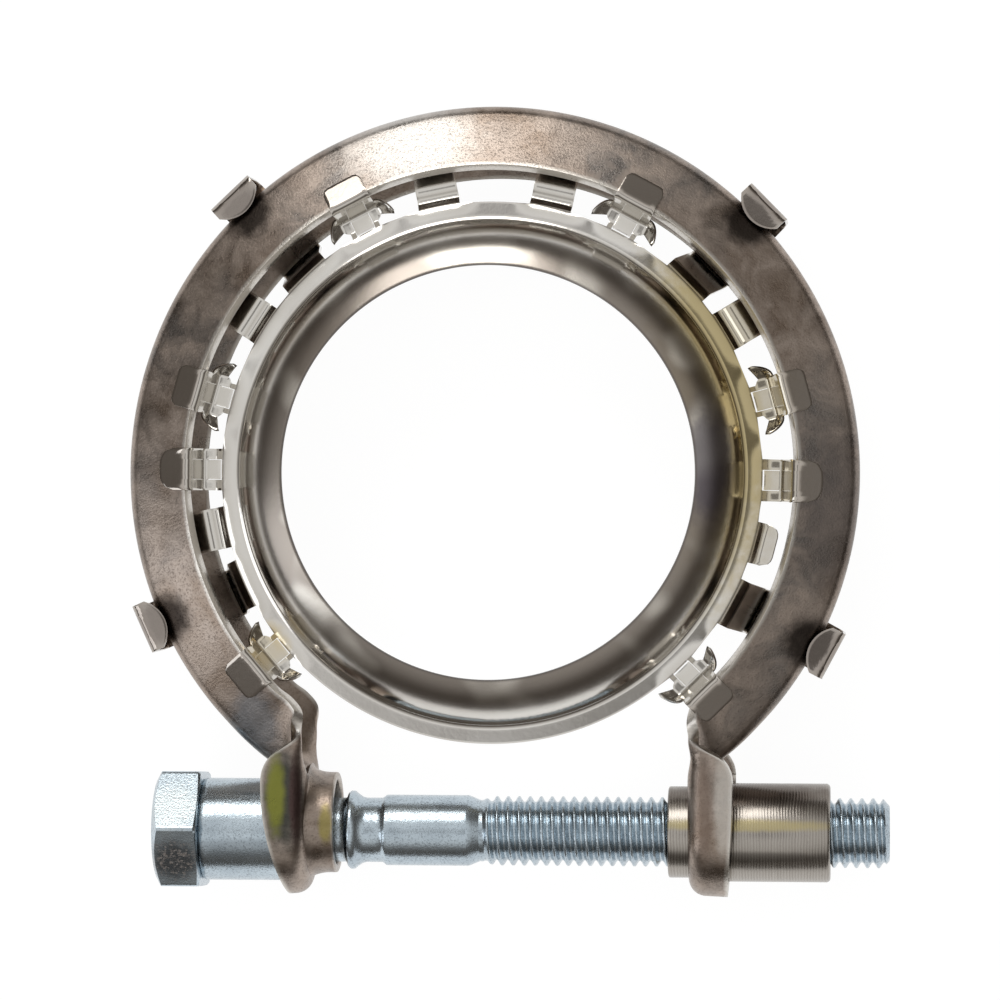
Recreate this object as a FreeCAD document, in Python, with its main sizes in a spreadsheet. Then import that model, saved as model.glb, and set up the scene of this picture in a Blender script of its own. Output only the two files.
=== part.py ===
"""Exhaust pipe clamp: a V-profile band with pressed bolt ears, a thin seal ring clipped into it,
a captive shoulder bolt and a barrel nut.

Millimetres. The origin is the middle of the band on the pipe's axis. +Z is that axis and points out of the
side that the seal ring's spigot stands out of, +Y points away from the bolt, +X along the bolt to its tip."""
import FreeCAD, Part

import math
import os
import re

import Sketcher

Vector = FreeCAD.Vector

# Driving dimensions. Angles are in degrees, counted from +X towards +Y.
SIZES = {
    # clamp band: one pressed strip, V-shaped in section
    "band_outer_radius": 41.3,
    "band_sheet": 1.3,
    "band_half_width": 7.5,
    "lip_radius": 34.5,
    "flank_tilt": 27.0,
    "band_bend_radius": 1.9,
    "band_wrap": 293.0,
    # bolt ears: dished cups pressed in the ends of the same strip
    "bolt_inset": 0.7,
    "left_web_x": 20.8,
    "right_web_x": 22.05,
    "left_ear_depth": 5.1,
    "right_ear_depth": 5.6,
    "ear_half_width": 7.1,
    "ear_taper": 5.5,
    "ear_bend_radius": 2.4,
    "ear_top": 12.4,
    "ear_top_slope": 37.0,
    "ear_foot_start": 2.5,
    "ear_foot_cut": 3.0,
    "collar_length": 2.9,
    "collar_bore_radius": 4.8,
    "collar_wall": 0.9,
    "collar_root": 1.0,
    "collar_rise": 0.85,
    # captive bolt
    "head_across_flats": 13.0,
    "head_height": 5.3,
    "head_face_radius": 5.9,
    "head_crown_angle": 27.0,
    "head_turn": 4.2,
    "shoulder_length": 11.05,
    "shoulder_radius": 5.8,
    "shoulder_cone": 1.5,
    "shoulder_cone_drop": 0.9,
    "shoulder_gap": 0.1,
    "neck_radius": 3.65,
    "neck_length": 5.5,
    "bead_radius": 4.45,
    "bead_length": 1.1,
    "bead_slope": 1.0,
    "second_neck_length": 2.0,
    "shank_radius": 4.0,
    "shank_length": 9.7,
    "shank_end_slope": 1.5,
    "thread_radius": 3.93,
    "thread_length": 46.0,
    "thread_pitch": 1.25,
    "thread_depth": 0.63,
    "thread_root": 0.16,
    "bolt_tip_chamfer": 0.7,
    # barrel nut
    "spigot_radius": 5.15,
    "spigot_length": 2.3,
    "barrel_radius": 5.55,
    "barrel_length": 14.6,
    "barrel_chamfer": 0.4,
    "barrel_seat_length": 0.8,
    "nut_bore_chamfer": 0.5,
    "seat_fit": 0.02,
    "thread_fit": 0.05,
    # seal ring: one thin pressing
    "ring_sheet": 0.35,
    "ring_rim_radius": 30.4,
    "flange_inner_radius": 28.3,
    "flange_level": 5.75,
    "spigot_foot_radius": 27.1,
    "spigot_foot_level": 7.4,
    "spigot_shoulder_radius": 25.3,
    "spigot_shoulder_level": 9.0,
    "seal_bore_radius": 23.1,
    "seal_bore_level": 10.0,
    "tab_lap": 0.8,
    "tab_flat": 0.1,
    "clip_width": 4.7,
    "clip_step": 0.6,
    "neck_sheet_width": 3.45,
    "neck_sheet_length": 0.85,
    "plain_clip_rounding": 2.6,
    "clip_level": 4.9,
    "clip_floor_gap": 1.6,
    "clip_reach": 36.7,
    "clip_corner_radius": 0.8,
    "window_width": 2.3,
    "window_length": 1.8,
    "lance_width": 2.0,
    "lance_length": 1.5,
    "lance_lift": 0.28,
    "short_tab_reach": 36.2,
    "short_tab_step": 0.7,
    "short_tab_dip": 1.05,
    "short_tab_rise": 0.5,
    "short_tab_end": 2.0,
    "lone_tab_reach": 32.9,
    "arm_width": 5.65,
    "arm_stand_off": 2.2,
    "arm_bend": 0.8,
    "arm_edge_gap": 0.3,
    "hook_level": 5.25,
    "hook_reach": 1.6,
    "hook_tip_bulge": 1.4,
    "horn_reach": 1.75,
    "horn_waist": 0.9,
    "horn_tilt": 35.0,
    "ring_clearance": 0.08,
    "lip_gap": 0.5,
}

# Clips: angle, and how many sheet thicknesses further than clip_reach the tongue goes.
HORNED_CLIPS = ((117.4, 0.0), (61.5, 0.9), (14.9, 0.0), (164.2, 0.6), (219.7, 1.7), (-45.6, 0.6))
PLAIN_CLIPS = ((179.3, 1.7), (-1.6, 1.1))
SHORT_TABS = (101.0, 77.3, 147.0, 31.0, 191.5)
LONE_TAB = -14.8
LONG_ARMS = (133.2, 44.2, 204.1, -28.2)

document = FreeCAD.newDocument("exhaust_pipe_clamp")
sheet = document.addObject("Spreadsheet::Sheet", "Sizes")
for row, (alias, size) in enumerate(SIZES.items(), start=1):
    sheet.set("A%d" % row, alias)
    sheet.set("B%d" % row, str(size))
    sheet.setAlias("B%d" % row, alias)
document.recompute()


def bound(text):
    """The expression with each size's name written as the sheet's own."""
    return re.sub(r"[a-z_]{4,}",
                  lambda word: "Sizes." + word.group() if word.group() in SIZES else word.group(), text)


def number(text):
    """What an expression in the sizes comes to."""
    return float(sheet.evalExpression(bound(text)))


def origin_plane(body, role):
    for feature in body.Origin.OriginFeatures:
        if feature.Role == role:
            return feature


def new_sketch(body, name, role):
    sketch = body.newObject("Sketcher::SketchObject", name)
    sketch.AttachmentSupport = (origin_plane(body, role), [""])
    sketch.MapMode = "FlatFace"
    return sketch


def bind_point(sketch, line, end, along, across):
    """Hold one end of a sketch line at two expressions, counted from the sketch's origin."""
    for kind, axis, text in (("DistanceX", -2, along), ("DistanceY", -1, across)):
        if text == "0":
            sketch.addConstraint(Sketcher.Constraint("PointOnObject", line, end, axis))
            continue
        index = sketch.addConstraint(Sketcher.Constraint(kind, -1, 1, line, end, number(text)))
        sketch.setExpression("Constraints[%d]" % index, bound(text))


def outline(body, name, role, corners):
    """A closed sketch of straight lines through corners, each a pair of expressions."""
    sketch = new_sketch(body, name, role)
    places = []
    for along, across in corners:
        places.append(Vector(number(along), number(across), 0))
    count = len(corners)
    for index in range(count):
        sketch.addGeometry(Part.LineSegment(places[index], places[(index + 1) % count]), False)
    for index in range(count):
        sketch.addConstraint(Sketcher.Constraint("Coincident", index, 2, (index + 1) % count, 1))
    for index, (along, across) in enumerate(corners):
        bind_point(sketch, index, 1, along, across)
    return sketch


def edges_where(shape, test):
    """Names of the edges whose midpoint passes the test."""
    names = []
    for place, edge in enumerate(shape.Edges, start=1):
        middle = edge.valueAt((edge.FirstParameter + edge.LastParameter) / 2)
        if test(middle, edge):
            names.append("Edge%d" % place)
    return names


# The band's V section: two flanks tilted by flank_tilt from a flat web, all band_sheet thick.
LEAN = "(flank_tilt * 1 deg)"
BOLT_DROP = "(band_outer_radius - bolt_inset)"
LIP_INNER_RADIUS = "(lip_radius - band_sheet * sin(%s))" % LEAN
LIP_INNER_LEVEL = "(band_half_width - band_sheet * cos(%s))" % LEAN
WEB_INNER_RADIUS = "(band_outer_radius - band_sheet)"
WEB_LEVEL = "(band_half_width - (band_outer_radius - lip_radius) * tan(%s))" % LEAN
WEB_INNER_LEVEL = "(%s - (%s - %s) * tan(%s))" % (LIP_INNER_LEVEL, WEB_INNER_RADIUS, LIP_INNER_RADIUS, LEAN)


def revolve(body, sketch, kind, name):
    """Turn a sketch a full turn about its own horizontal axis."""
    feature = body.newObject(kind, name)
    feature.Profile = sketch
    feature.ReferenceAxis = (sketch, ["H_Axis"])
    feature.Angle = 360
    return feature


def round_edges(body, base, name, radius, test):
    document.recompute()
    fillet = body.newObject("PartDesign::Fillet", name)
    fillet.Base = (base, edges_where(base.Shape, test))
    fillet.setExpression("Radius", bound(radius))
    return fillet


def close_to(value, text):
    return abs(value - number(text)) < 1e-4


def band_ring():
    """The V section turned round the pipe's axis, open at the bolt side."""
    body = document.addObject("PartDesign::Body", "BandRing")
    sketch = outline(body, "BandSection", "XZ_Plane", [
        ("lip_radius", "band_half_width"),
        ("band_outer_radius", WEB_LEVEL),
        ("band_outer_radius", "-" + WEB_LEVEL),
        ("lip_radius", "-band_half_width"),
        (LIP_INNER_RADIUS, "-" + LIP_INNER_LEVEL),
        (WEB_INNER_RADIUS, "-" + WEB_INNER_LEVEL),
        (WEB_INNER_RADIUS, WEB_INNER_LEVEL),
        (LIP_INNER_RADIUS, LIP_INNER_LEVEL),
    ])
    turn = body.newObject("PartDesign::Revolution", "BandTurn")
    turn.Profile = sketch
    turn.ReferenceAxis = (sketch, ["V_Axis"])
    turn.Midplane = True
    turn.setExpression("Angle", bound("band_wrap"))
    outer = round_edges(body, turn, "BandOuterBends", "band_bend_radius",
                        lambda middle, edge: hasattr(edge.Curve, "Radius")
                        and close_to(edge.Curve.Radius, "band_outer_radius")
                        and close_to(abs(middle.z), WEB_LEVEL))
    inner = round_edges(body, outer, "BandInnerBends", "band_bend_radius - band_sheet",
                        lambda middle, edge: hasattr(edge.Curve, "Radius")
                        and close_to(edge.Curve.Radius, WEB_INNER_RADIUS)
                        and close_to(abs(middle.z), WEB_INNER_LEVEL))
    body.Tip = inner
    body.Placement = FreeCAD.Placement(Vector(0, 0, 0), FreeCAD.Rotation(Vector(0, 0, 1), 90))
    return body


def cup_outline(body, name, level, half, top):
    """A U open at the top: straight sides half away from the bolt's axis, round below it."""
    sketch = new_sketch(body, name, "YZ_Plane")
    sketch.setExpression("AttachmentOffset.Base.z", bound(level))
    wide = number(half)
    high = number(top)
    sketch.addGeometry(Part.LineSegment(Vector(high, -wide, 0), Vector(0, -wide, 0)), False)
    sketch.addGeometry(Part.ArcOfCircle(Part.Circle(Vector(0, 0, 0), Vector(0, 0, 1), wide),
                                        math.pi / 2, 3 * math.pi / 2), False)
    sketch.addGeometry(Part.LineSegment(Vector(0, wide, 0), Vector(high, wide, 0)), False)
    sketch.addGeometry(Part.LineSegment(Vector(high, wide, 0), Vector(high, -wide, 0)), False)
    for rule in (("Coincident", 1, 3, -1, 1), ("Tangent", 0, 2, 1, 2), ("Tangent", 1, 1, 2, 1),
                 ("Coincident", 2, 2, 3, 1), ("Coincident", 3, 2, 0, 1), ("Vertical", 3),
                 ("PointOnObject", 0, 2, -2)):
        sketch.addConstraint(Sketcher.Constraint(*rule))
    radius = sketch.addConstraint(Sketcher.Constraint("Radius", 1, wide))
    sketch.setExpression("Constraints[%d]" % radius, bound(half))
    reach = sketch.addConstraint(Sketcher.Constraint("DistanceX", -1, 1, 3, 1, high))
    sketch.setExpression("Constraints[%d]" % reach, bound(top))
    return sketch


def cut_through(body, sketch, name):
    """Cut a sketch's shape right through, both ways."""
    cut = body.newObject("PartDesign::Pocket", name)
    cut.Profile = sketch
    cut.Type = 1
    cut.Midplane = True
    return cut


def round_hole(body, name, radius, rise):
    """A hole through the ear's web, rise above the bolt's axis."""
    sketch = new_sketch(body, name + "Outline", "YZ_Plane")
    sketch.setExpression("AttachmentOffset.Base.x", bound(rise))
    sketch.addGeometry(Part.Circle(Vector(0, 0, 0), Vector(0, 0, 1), number(radius)), False)
    sketch.addConstraint(Sketcher.Constraint("Coincident", 0, 3, -1, 1))
    index = sketch.addConstraint(Sketcher.Constraint("Radius", 0, number(radius)))
    sketch.setExpression("Constraints[%d]" % index, bound(radius))
    return cut_through(body, sketch, name)


# The dish's inside at its floor: the tapered wall's outline less its own sheet.
DISH_HALF_WIDTH = ("(ear_half_width - band_sheet / cos(ear_taper * 1 deg)"
                   " + band_sheet * tan(ear_taper * 1 deg))")


def ear_cup(name, side, web, depth):
    """A dished ear: its web faces the gap, its rim points away from it. side is -1 left, 1 right.
    The body's own origin is where the bolt's axis meets the web's gap face."""
    body = document.addObject("PartDesign::Body", name)
    block = body.newObject("PartDesign::Pad", name + "Block")
    block.Profile = cup_outline(body, name + "Outline", "0", "ear_half_width", "ear_top + band_sheet")
    block.Reversed = side < 0
    block.setExpression("Length", bound(depth))
    block.setExpression("TaperAngle", bound("ear_taper"))
    round_edges(body, block, name + "Bends", "ear_bend_radius",
                lambda middle, edge: abs(middle.x) < 1e-6 and not close_to(middle.y, "ear_top + band_sheet"))
    hollow = body.newObject("PartDesign::Pocket", name + "Hollow")
    hollow.Profile = cup_outline(body, name + "DishOutline", "%d * band_sheet" % side, DISH_HALF_WIDTH,
                                 "ear_top + 3 * band_sheet")
    hollow.Reversed = side > 0
    hollow.setExpression("Length", bound(depth))
    hollow.setExpression("TaperAngle", bound("ear_taper"))
    round_edges(body, hollow, name + "DishBends", "ear_bend_radius - band_sheet",
                lambda middle, edge: close_to(abs(middle.x), "band_sheet")
                and not close_to(middle.y, "ear_top + band_sheet"))
    # the rim falls away from the web in a straight slope
    far = "(%s + band_sheet)" % depth
    slope = "tan(ear_top_slope * 1 deg)"
    trim = outline(body, name + "TrimOutline", "XY_Plane", [
        ("%d * band_sheet" % -side, "ear_top + band_sheet * %s" % slope),
        ("%d * %s" % (side, far), "ear_top - %s * %s" % (far, slope)),
        ("%d * %s" % (side, far), "ear_top + 5 * band_sheet"),
        ("%d * band_sheet" % -side, "ear_top + 5 * band_sheet"),
    ])
    cut_through(body, trim, name + "Slope")
    foot = outline(body, name + "FootOutline", "XY_Plane", [
        ("%d * %s" % (side, far), "-ear_foot_start"),
        ("%d * (%s - ear_foot_cut)" % (side, depth), "-ear_half_width - band_sheet"),
        ("%d * %s" % (side, far), "-ear_half_width - band_sheet"),
    ])
    cut_through(body, foot, name + "FootCut")
    body.setExpression("Placement.Base.x", bound("%d * %s" % (side, web)))
    body.setExpression("Placement.Base.y", bound("-" + BOLT_DROP))
    return body


def drawn_collar(body):
    """The collar that the left web is drawn into, towards the gap, with a flared root. The bolt lies low
    in it: its middle is collar_rise above the bolt's axis."""
    rim = "(collar_bore_radius + collar_wall)"
    sketch = outline(body, "CollarSection", "XY_Plane", [
        ("-band_sheet / 2", "collar_bore_radius - collar_wall"),
        ("collar_length", "collar_bore_radius - collar_wall"),
        ("collar_length", rim),
        ("collar_root / 2", rim),
        ("-band_sheet / 2", "%s + collar_root / 2" % rim),
    ])
    sketch.setExpression("AttachmentOffset.Base.y", bound("collar_rise"))
    revolve(body, sketch, "PartDesign::Revolution", "Collar")
    body.Tip = round_hole(body, "CollarBore", "collar_bore_radius", "collar_rise")


def clamp_band():
    """V ring with its ends cut to the gap, and the two dished ears grown into it."""
    ring = band_ring()
    gap = document.addObject("Part::Box", "EarGap")
    gap.setExpression("Length", bound("left_web_x + right_web_x"))
    gap.setExpression("Width", bound("band_outer_radius"))
    gap.setExpression("Height", bound("4 * band_half_width"))
    gap.setExpression("Placement.Base.x", bound("-left_web_x"))
    gap.setExpression("Placement.Base.y", bound("-1.5 * band_outer_radius"))
    gap.setExpression("Placement.Base.z", bound("-2 * band_half_width"))
    opened = document.addObject("Part::Cut", "OpenedRing")
    opened.Base = ring
    opened.Tool = gap
    left = ear_cup("LeftEar", -1, "left_web_x", "left_ear_depth")
    drawn_collar(left)
    right = ear_cup("RightEar", 1, "right_web_x", "right_ear_depth")
    right.Tip = round_hole(right, "NutHole", "spigot_radius + seat_fit", "0")
    band = document.addObject("Part::MultiFuse", "Band")
    band.Shapes = [opened, left, right]
    band.Label = "clamp_band"
    return band


def stations(*lengths):
    """Running sums of length expressions, from 0."""
    sums = ["0"]
    for length in lengths:
        sums.append("(%s + %s)" % (sums[-1], length))
    return sums


def clamp_bolt():
    """The captive bolt. Its own origin is on its axis at the shoulder's end, in the left dish."""
    body = document.addObject("PartDesign::Body", "Bolt")
    bead, bead_end, foot, shank, shank_end, thread, tip = stations(
        "neck_length", "bead_length", "bead_slope", "second_neck_length", "shank_length",
        "shank_end_slope", "thread_length")[1:]
    section = outline(body, "BoltSection", "XY_Plane", [
        ("-shoulder_length - head_height / 2", "0"),
        ("-shoulder_length - head_height / 2", "shoulder_radius"),
        ("-shoulder_cone", "shoulder_radius"),
        ("0", "shoulder_radius - shoulder_cone_drop"),
        ("0", "neck_radius"),
        ("%s - bead_slope / 3" % bead, "neck_radius"),
        (bead, "bead_radius"),
        (bead_end, "bead_radius"),
        (foot, "neck_radius"),
        (shank, "neck_radius"),
        (shank, "shank_radius"),
        (shank_end, "shank_radius"),
        (thread, "thread_radius"),
        ("%s - bolt_tip_chamfer" % tip, "thread_radius"),
        (tip, "thread_radius - bolt_tip_chamfer"),
        (tip, "0"),
    ])
    revolve(body, section, "PartDesign::Revolution", "BoltTurn")
    # the thread's turns, as closed grooves a pitch apart with 60 degrees between their flanks
    middle = "(%s + thread_pitch / 2)" % thread
    spread = "(thread_root / 2 + (thread_depth + thread_root) * tan(30 * 1 deg))"
    valley = outline(body, "ValleySection", "XY_Plane", [
        ("%s - %s" % (middle, spread), "thread_radius + thread_root"),
        ("%s - thread_root / 2" % middle, "thread_radius - thread_depth"),
        ("%s + thread_root / 2" % middle, "thread_radius - thread_depth"),
        ("%s + %s" % (middle, spread), "thread_radius + thread_root"),
    ])
    groove = revolve(body, valley, "PartDesign::Groove", "Valley")
    turns = body.newObject("PartDesign::LinearPattern", "Thread")
    turns.Originals = [groove]
    turns.Direction = (valley, ["H_Axis"])
    count = "floor((thread_length - bolt_tip_chamfer) / thread_pitch)"
    turns.setExpression("Occurrences", bound(count))
    turns.setExpression("Length", bound("(%s - 1) * thread_pitch" % count))
    body.Tip = turns
    head = new_sketch(body, "HeadOutline", "YZ_Plane")
    head.setExpression("AttachmentOffset.Base.z", bound("-shoulder_length"))
    corner = number("head_across_flats / 2 / cos(30 * 1 deg)")
    spots = []
    for step in range(6):
        turn = math.radians(90 - number("head_turn") + 60 * step)
        spots.append(Vector(corner * math.cos(turn), corner * math.sin(turn), 0))
    for step in range(6):
        head.addGeometry(Part.LineSegment(spots[step], spots[(step + 1) % 6]), False)
    circle = head.addGeometry(Part.Circle(Vector(0, 0, 0), Vector(0, 0, 1), corner), True)
    head.addConstraint(Sketcher.Constraint("Coincident", circle, 3, -1, 1))
    for step in range(6):
        head.addConstraint(Sketcher.Constraint("Coincident", step, 2, (step + 1) % 6, 1))
        head.addConstraint(Sketcher.Constraint("PointOnObject", step, 1, circle))
    for step in range(1, 6):
        head.addConstraint(Sketcher.Constraint("Equal", 0, step))
    size = head.addConstraint(Sketcher.Constraint("Radius", circle, corner))
    head.setExpression("Constraints[%d]" % size, bound("head_across_flats / 2 / cos(30 * 1 deg)"))
    spoke = head.addGeometry(Part.LineSegment(Vector(0, 0, 0), spots[0]), True)
    head.addConstraint(Sketcher.Constraint("Coincident", spoke, 1, -1, 1))
    head.addConstraint(Sketcher.Constraint("Coincident", spoke, 2, 0, 1))
    turn = head.addConstraint(Sketcher.Constraint("Angle", -1, 1, spoke, 1,
                                                  math.radians(90 - number("head_turn"))))
    head.setExpression("Constraints[%d]" % turn, "90 deg - Sizes.head_turn * 1 deg")
    head_pad = body.newObject("PartDesign::Pad", "Head")
    head_pad.Profile = head
    head_pad.Reversed = True
    head_pad.setExpression("Length", bound("head_height"))
    # the crown: the head's outer corners turned off in a flat cone
    end = "(-shoulder_length - head_height)"
    reach = "(head_across_flats / 2 / cos(30 * 1 deg) + 1)"
    crown = outline(body, "CrownSection", "XY_Plane", [
        (end, "head_face_radius"),
        ("%s - 1" % end, "head_face_radius"),
        ("%s - 1" % end, reach),
        ("%s + (%s - head_face_radius) * tan(head_crown_angle * 1 deg)" % (end, reach), reach),
    ])
    body.Tip = revolve(body, crown, "PartDesign::Groove", "Crown")
    body.setExpression("Placement.Base.x", bound("-left_web_x - band_sheet - shoulder_gap"))
    body.setExpression("Placement.Base.y", bound("-" + BOLT_DROP))
    body.Label = "clamp_bolt"
    return body


def barrel_nut():
    """The nut. Its own origin is on its axis where it seats on the right dish's floor."""
    body = document.addObject("PartDesign::Body", "Nut")
    bore = "(thread_radius + thread_fit)"
    front = "(-band_sheet - seat_fit - spigot_length)"
    section = outline(body, "NutSection", "XY_Plane", [
        (front, "%s + nut_bore_chamfer" % bore),
        (front, "spigot_radius - barrel_chamfer / 2"),
        ("%s + barrel_chamfer / 2" % front, "spigot_radius"),
        ("0", "spigot_radius"),
        ("barrel_seat_length", "barrel_radius"),
        ("barrel_length - barrel_chamfer", "barrel_radius"),
        ("barrel_length", "barrel_radius - barrel_chamfer"),
        ("barrel_length", "%s + nut_bore_chamfer" % bore),
        ("barrel_length - nut_bore_chamfer", bore),
        ("%s + nut_bore_chamfer" % front, bore),
    ])
    body.Tip = revolve(body, section, "PartDesign::Revolution", "NutTurn")
    body.setExpression("Placement.Base.x", bound("right_web_x + band_sheet + seat_fit"))
    body.setExpression("Placement.Base.y", bound("-" + BOLT_DROP))
    body.Label = "barrel_nut"
    return body


def thicken(path):
    """The closed outline of a sheet bent along a path of (radius, level) points, with mitred bends."""
    half = number("ring_sheet") / 2
    normals = []
    for start, end in zip(path, path[1:]):
        run = math.dist(start, end)
        normals.append(((start[1] - end[1]) / run, (end[0] - start[0]) / run))
    shifts = [normals[0]]
    for before, after in zip(normals, normals[1:]):
        meet = 1 + before[0] * after[0] + before[1] * after[1]
        shifts.append(((before[0] + after[0]) / meet, (before[1] + after[1]) / meet))
    shifts.append(normals[-1])
    corners = []
    for (radius, level), (across, up) in zip(path, shifts):
        corners.append(Vector(radius + half * across, 0, level + half * up))
    for (radius, level), (across, up) in zip(reversed(path), reversed(shifts)):
        corners.append(Vector(radius - half * across, 0, level - half * up))
    return Part.Face(Part.makePolygon(corners + corners[:1]))


def strip(path, width):
    """A straight bent strip of the ring's sheet, centred on the XZ plane."""
    face = thicken(path)
    face.translate(Vector(0, -width / 2, 0))
    return face.extrude(Vector(0, width, 0))


def end_disc(middle, radius):
    """A tall cylinder centred at radius middle on the XZ plane: it rounds a tab's end."""
    tall = number("4 * band_half_width")
    return Part.makeCylinder(radius, tall, Vector(middle, 0, -tall / 2))


def rounded_reach(tip, radius):
    """All that lies inside radius tip on the XZ plane, with a round end: what a round-ended tab keeps."""
    tall = number("4 * band_half_width")
    middle = tip - radius
    block = Part.makeBox(middle, 2 * radius, tall, Vector(0, -radius, -tall / 2))
    return block.fuse(end_disc(middle, radius))


def at_angle(shape, angle):
    copy = shape.copy()
    copy.rotate(Vector(0, 0, 0), Vector(0, 0, 1), angle)
    return copy


# Levels and radii that the ring's tabs share, from the band's lip and the ring's own sizes.
LIP_SPAN = "(ring_clearance + ring_sheet / 2)"
TONGUE_LIFT = "(%s / cos(%s))" % (LIP_SPAN, LEAN)
TONGUE_BEND_RADIUS = "(lip_radius - lip_gap)"
FLANGE_ROOT = "(ring_rim_radius - tab_lap)"
TAB_BEND = "(ring_rim_radius + tab_flat)"


def flank_level(radius):
    """Level of a tongue's middle where it lies on the band's flank at this radius."""
    return number("band_half_width + %s - (%s - lip_radius) * tan(%s)" % (TONGUE_LIFT, radius, LEAN))


def tongue_start():
    """Where a strip that comes up past the lip reaches the flank's line."""
    radius = number(TONGUE_BEND_RADIUS)
    return radius, flank_level(TONGUE_BEND_RADIUS)


def clip(tip, horned):
    """A tab that dips inside the lip, climbs past its edge and lies on the front flank."""
    level = number("clip_level")
    path = [
        (number(FLANGE_ROOT), number("flange_level")),
        (number(TAB_BEND), number("flange_level")),
        (number(TAB_BEND + " + clip_step"), level),
        (number("lip_radius - clip_floor_gap"), level),
        (number(LIP_INNER_RADIUS + " - lip_gap"), number(LIP_INNER_LEVEL)),
        tongue_start(),
        (tip, flank_level(str(tip))),
    ]
    width = number("clip_width")
    tall = number("band_half_width")
    body = strip(path, width)
    if horned:
        radius = number("clip_corner_radius")
        corner_spot = Vector(tip - radius, width / 2 - radius, level)
        corner = Part.makeBox(2 * radius, 2 * radius, tall, corner_spot)
        corner = corner.cut(Part.makeCylinder(radius, tall, corner_spot))
        root, neck = number(FLANGE_ROOT), number("neck_sheet_width") / 2
        notch = Part.makeBox(number("ring_rim_radius + neck_sheet_length") - root, width, tall,
                             Vector(root, neck, 0))
        cuts = [corner, notch]
        body = body.cut(cuts + [cut.mirror(Vector(0, 0, 0), Vector(0, 1, 0)) for cut in cuts])
    else:
        body = body.common(rounded_reach(tip, number("plain_clip_rounding")))
    rim = number("ring_rim_radius")
    sheet_room = 4 * number("ring_sheet")
    window = Part.makeBox(number("window_length"), number("window_width"), 2 * sheet_room,
                          Vector(rim, -number("window_width") / 2, level - sheet_room))
    body = body.cut(window)
    outer = rim + number("window_length")
    lance = strip([(outer + number("tab_flat"), level),
                   (outer - number("lance_length"), level + number("lance_lift"))],
                  number("lance_width"))
    pieces = [lance]
    if horned:
        pieces += [horn(), horn().mirror(Vector(0, 0, 0), Vector(0, 1, 0))]
    return body.fuse(pieces)


def horn():
    """One pointed ear of a clip, curled up from the clip's side."""
    root = number("clip_width / 2 - tab_flat")
    reach = number("horn_reach")
    outer = number("lip_radius - clip_floor_gap - tab_flat")
    waist = number("horn_waist")
    inner = number("ring_rim_radius + tab_flat") + waist / 2
    plan = [(outer, root), (outer - waist / 2, root + reach / 2), (inner, root + reach),
            (inner + waist, root + reach / 2), (inner + waist, root)]
    thick = number("ring_sheet")
    low = number("clip_level") - thick / 2
    corners = [Vector(radius, across, low) for radius, across in plan]
    plate = Part.Face(Part.makePolygon(corners + corners[:1])).extrude(Vector(0, 0, thick))
    plate.rotate(Vector(0, root, low + thick / 2), Vector(1, 0, 0), number("horn_tilt"))
    return plate


def short_tab():
    """An S-shaped tab that reaches under the lip into the V."""
    tip = number("short_tab_reach")
    dip = number("flange_level - short_tab_dip")
    crest = dip + number("short_tab_rise")
    return strip([
        (number(FLANGE_ROOT), number("flange_level")),
        (number(TAB_BEND), number("flange_level")),
        (number(TAB_BEND + " + short_tab_step"), dip),
        (number(TAB_BEND + " + 3 * short_tab_step"), crest),
        (tip - number("short_tab_end"), crest - number("short_tab_rise")),
        (tip, crest - number("3 * short_tab_rise")),
    ], number("clip_width"))


def lone_tab():
    """The one short tab that ends before the lip."""
    tip = number("lone_tab_reach")
    dip = number("flange_level - short_tab_dip")
    crest = dip + number("short_tab_rise")
    body = strip([
        (number(FLANGE_ROOT), number("flange_level")),
        (number(TAB_BEND), number("flange_level")),
        (number(TAB_BEND + " + short_tab_step"), dip),
        (tip - number("tab_lap"), crest),
        (tip, crest),
    ], number("clip_width"))
    return body.common(rounded_reach(tip, number("plain_clip_rounding")))


def long_arm():
    """An arm that passes through the band, round its rear lip and web, and hooks over the front."""
    outer = number("band_outer_radius + arm_stand_off - ring_sheet / 2")
    lip, lip_level = tongue_start()
    edge = number("band_outer_radius - arm_edge_gap")
    edge_level = -flank_level(str(edge))
    width = number("arm_width")
    bend = number("arm_bend")
    top = number("hook_level")
    body = strip([
        (number(FLANGE_ROOT), number("flange_level")),
        (number(TAB_BEND), number("flange_level")),
        (number(TAB_BEND + " + clip_step + arm_edge_gap"), number("clip_level - arm_edge_gap")),
        (number(LIP_INNER_RADIUS + " - lip_gap"), -number(LIP_INNER_LEVEL)),
        (lip, -lip_level),
        (edge, edge_level),
        (outer - bend / 2, edge_level + bend),
        (outer, edge_level + 3 * bend),
        (outer, top - bend),
    ], width)
    tip = number("band_outer_radius + arm_stand_off - hook_reach")
    hook = strip([
        (outer, top - 1.2 * bend),
        (outer, top - bend),
        (outer - bend / 3, top - bend / 3),
        (outer - bend, top),
        (tip, top),
    ], width)
    bulge = number("hook_tip_bulge")
    rounding = (width ** 2 / 4 + bulge ** 2) / (2 * bulge)
    return body.fuse(hook.common(end_disc(tip + rounding, rounding)))


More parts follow.
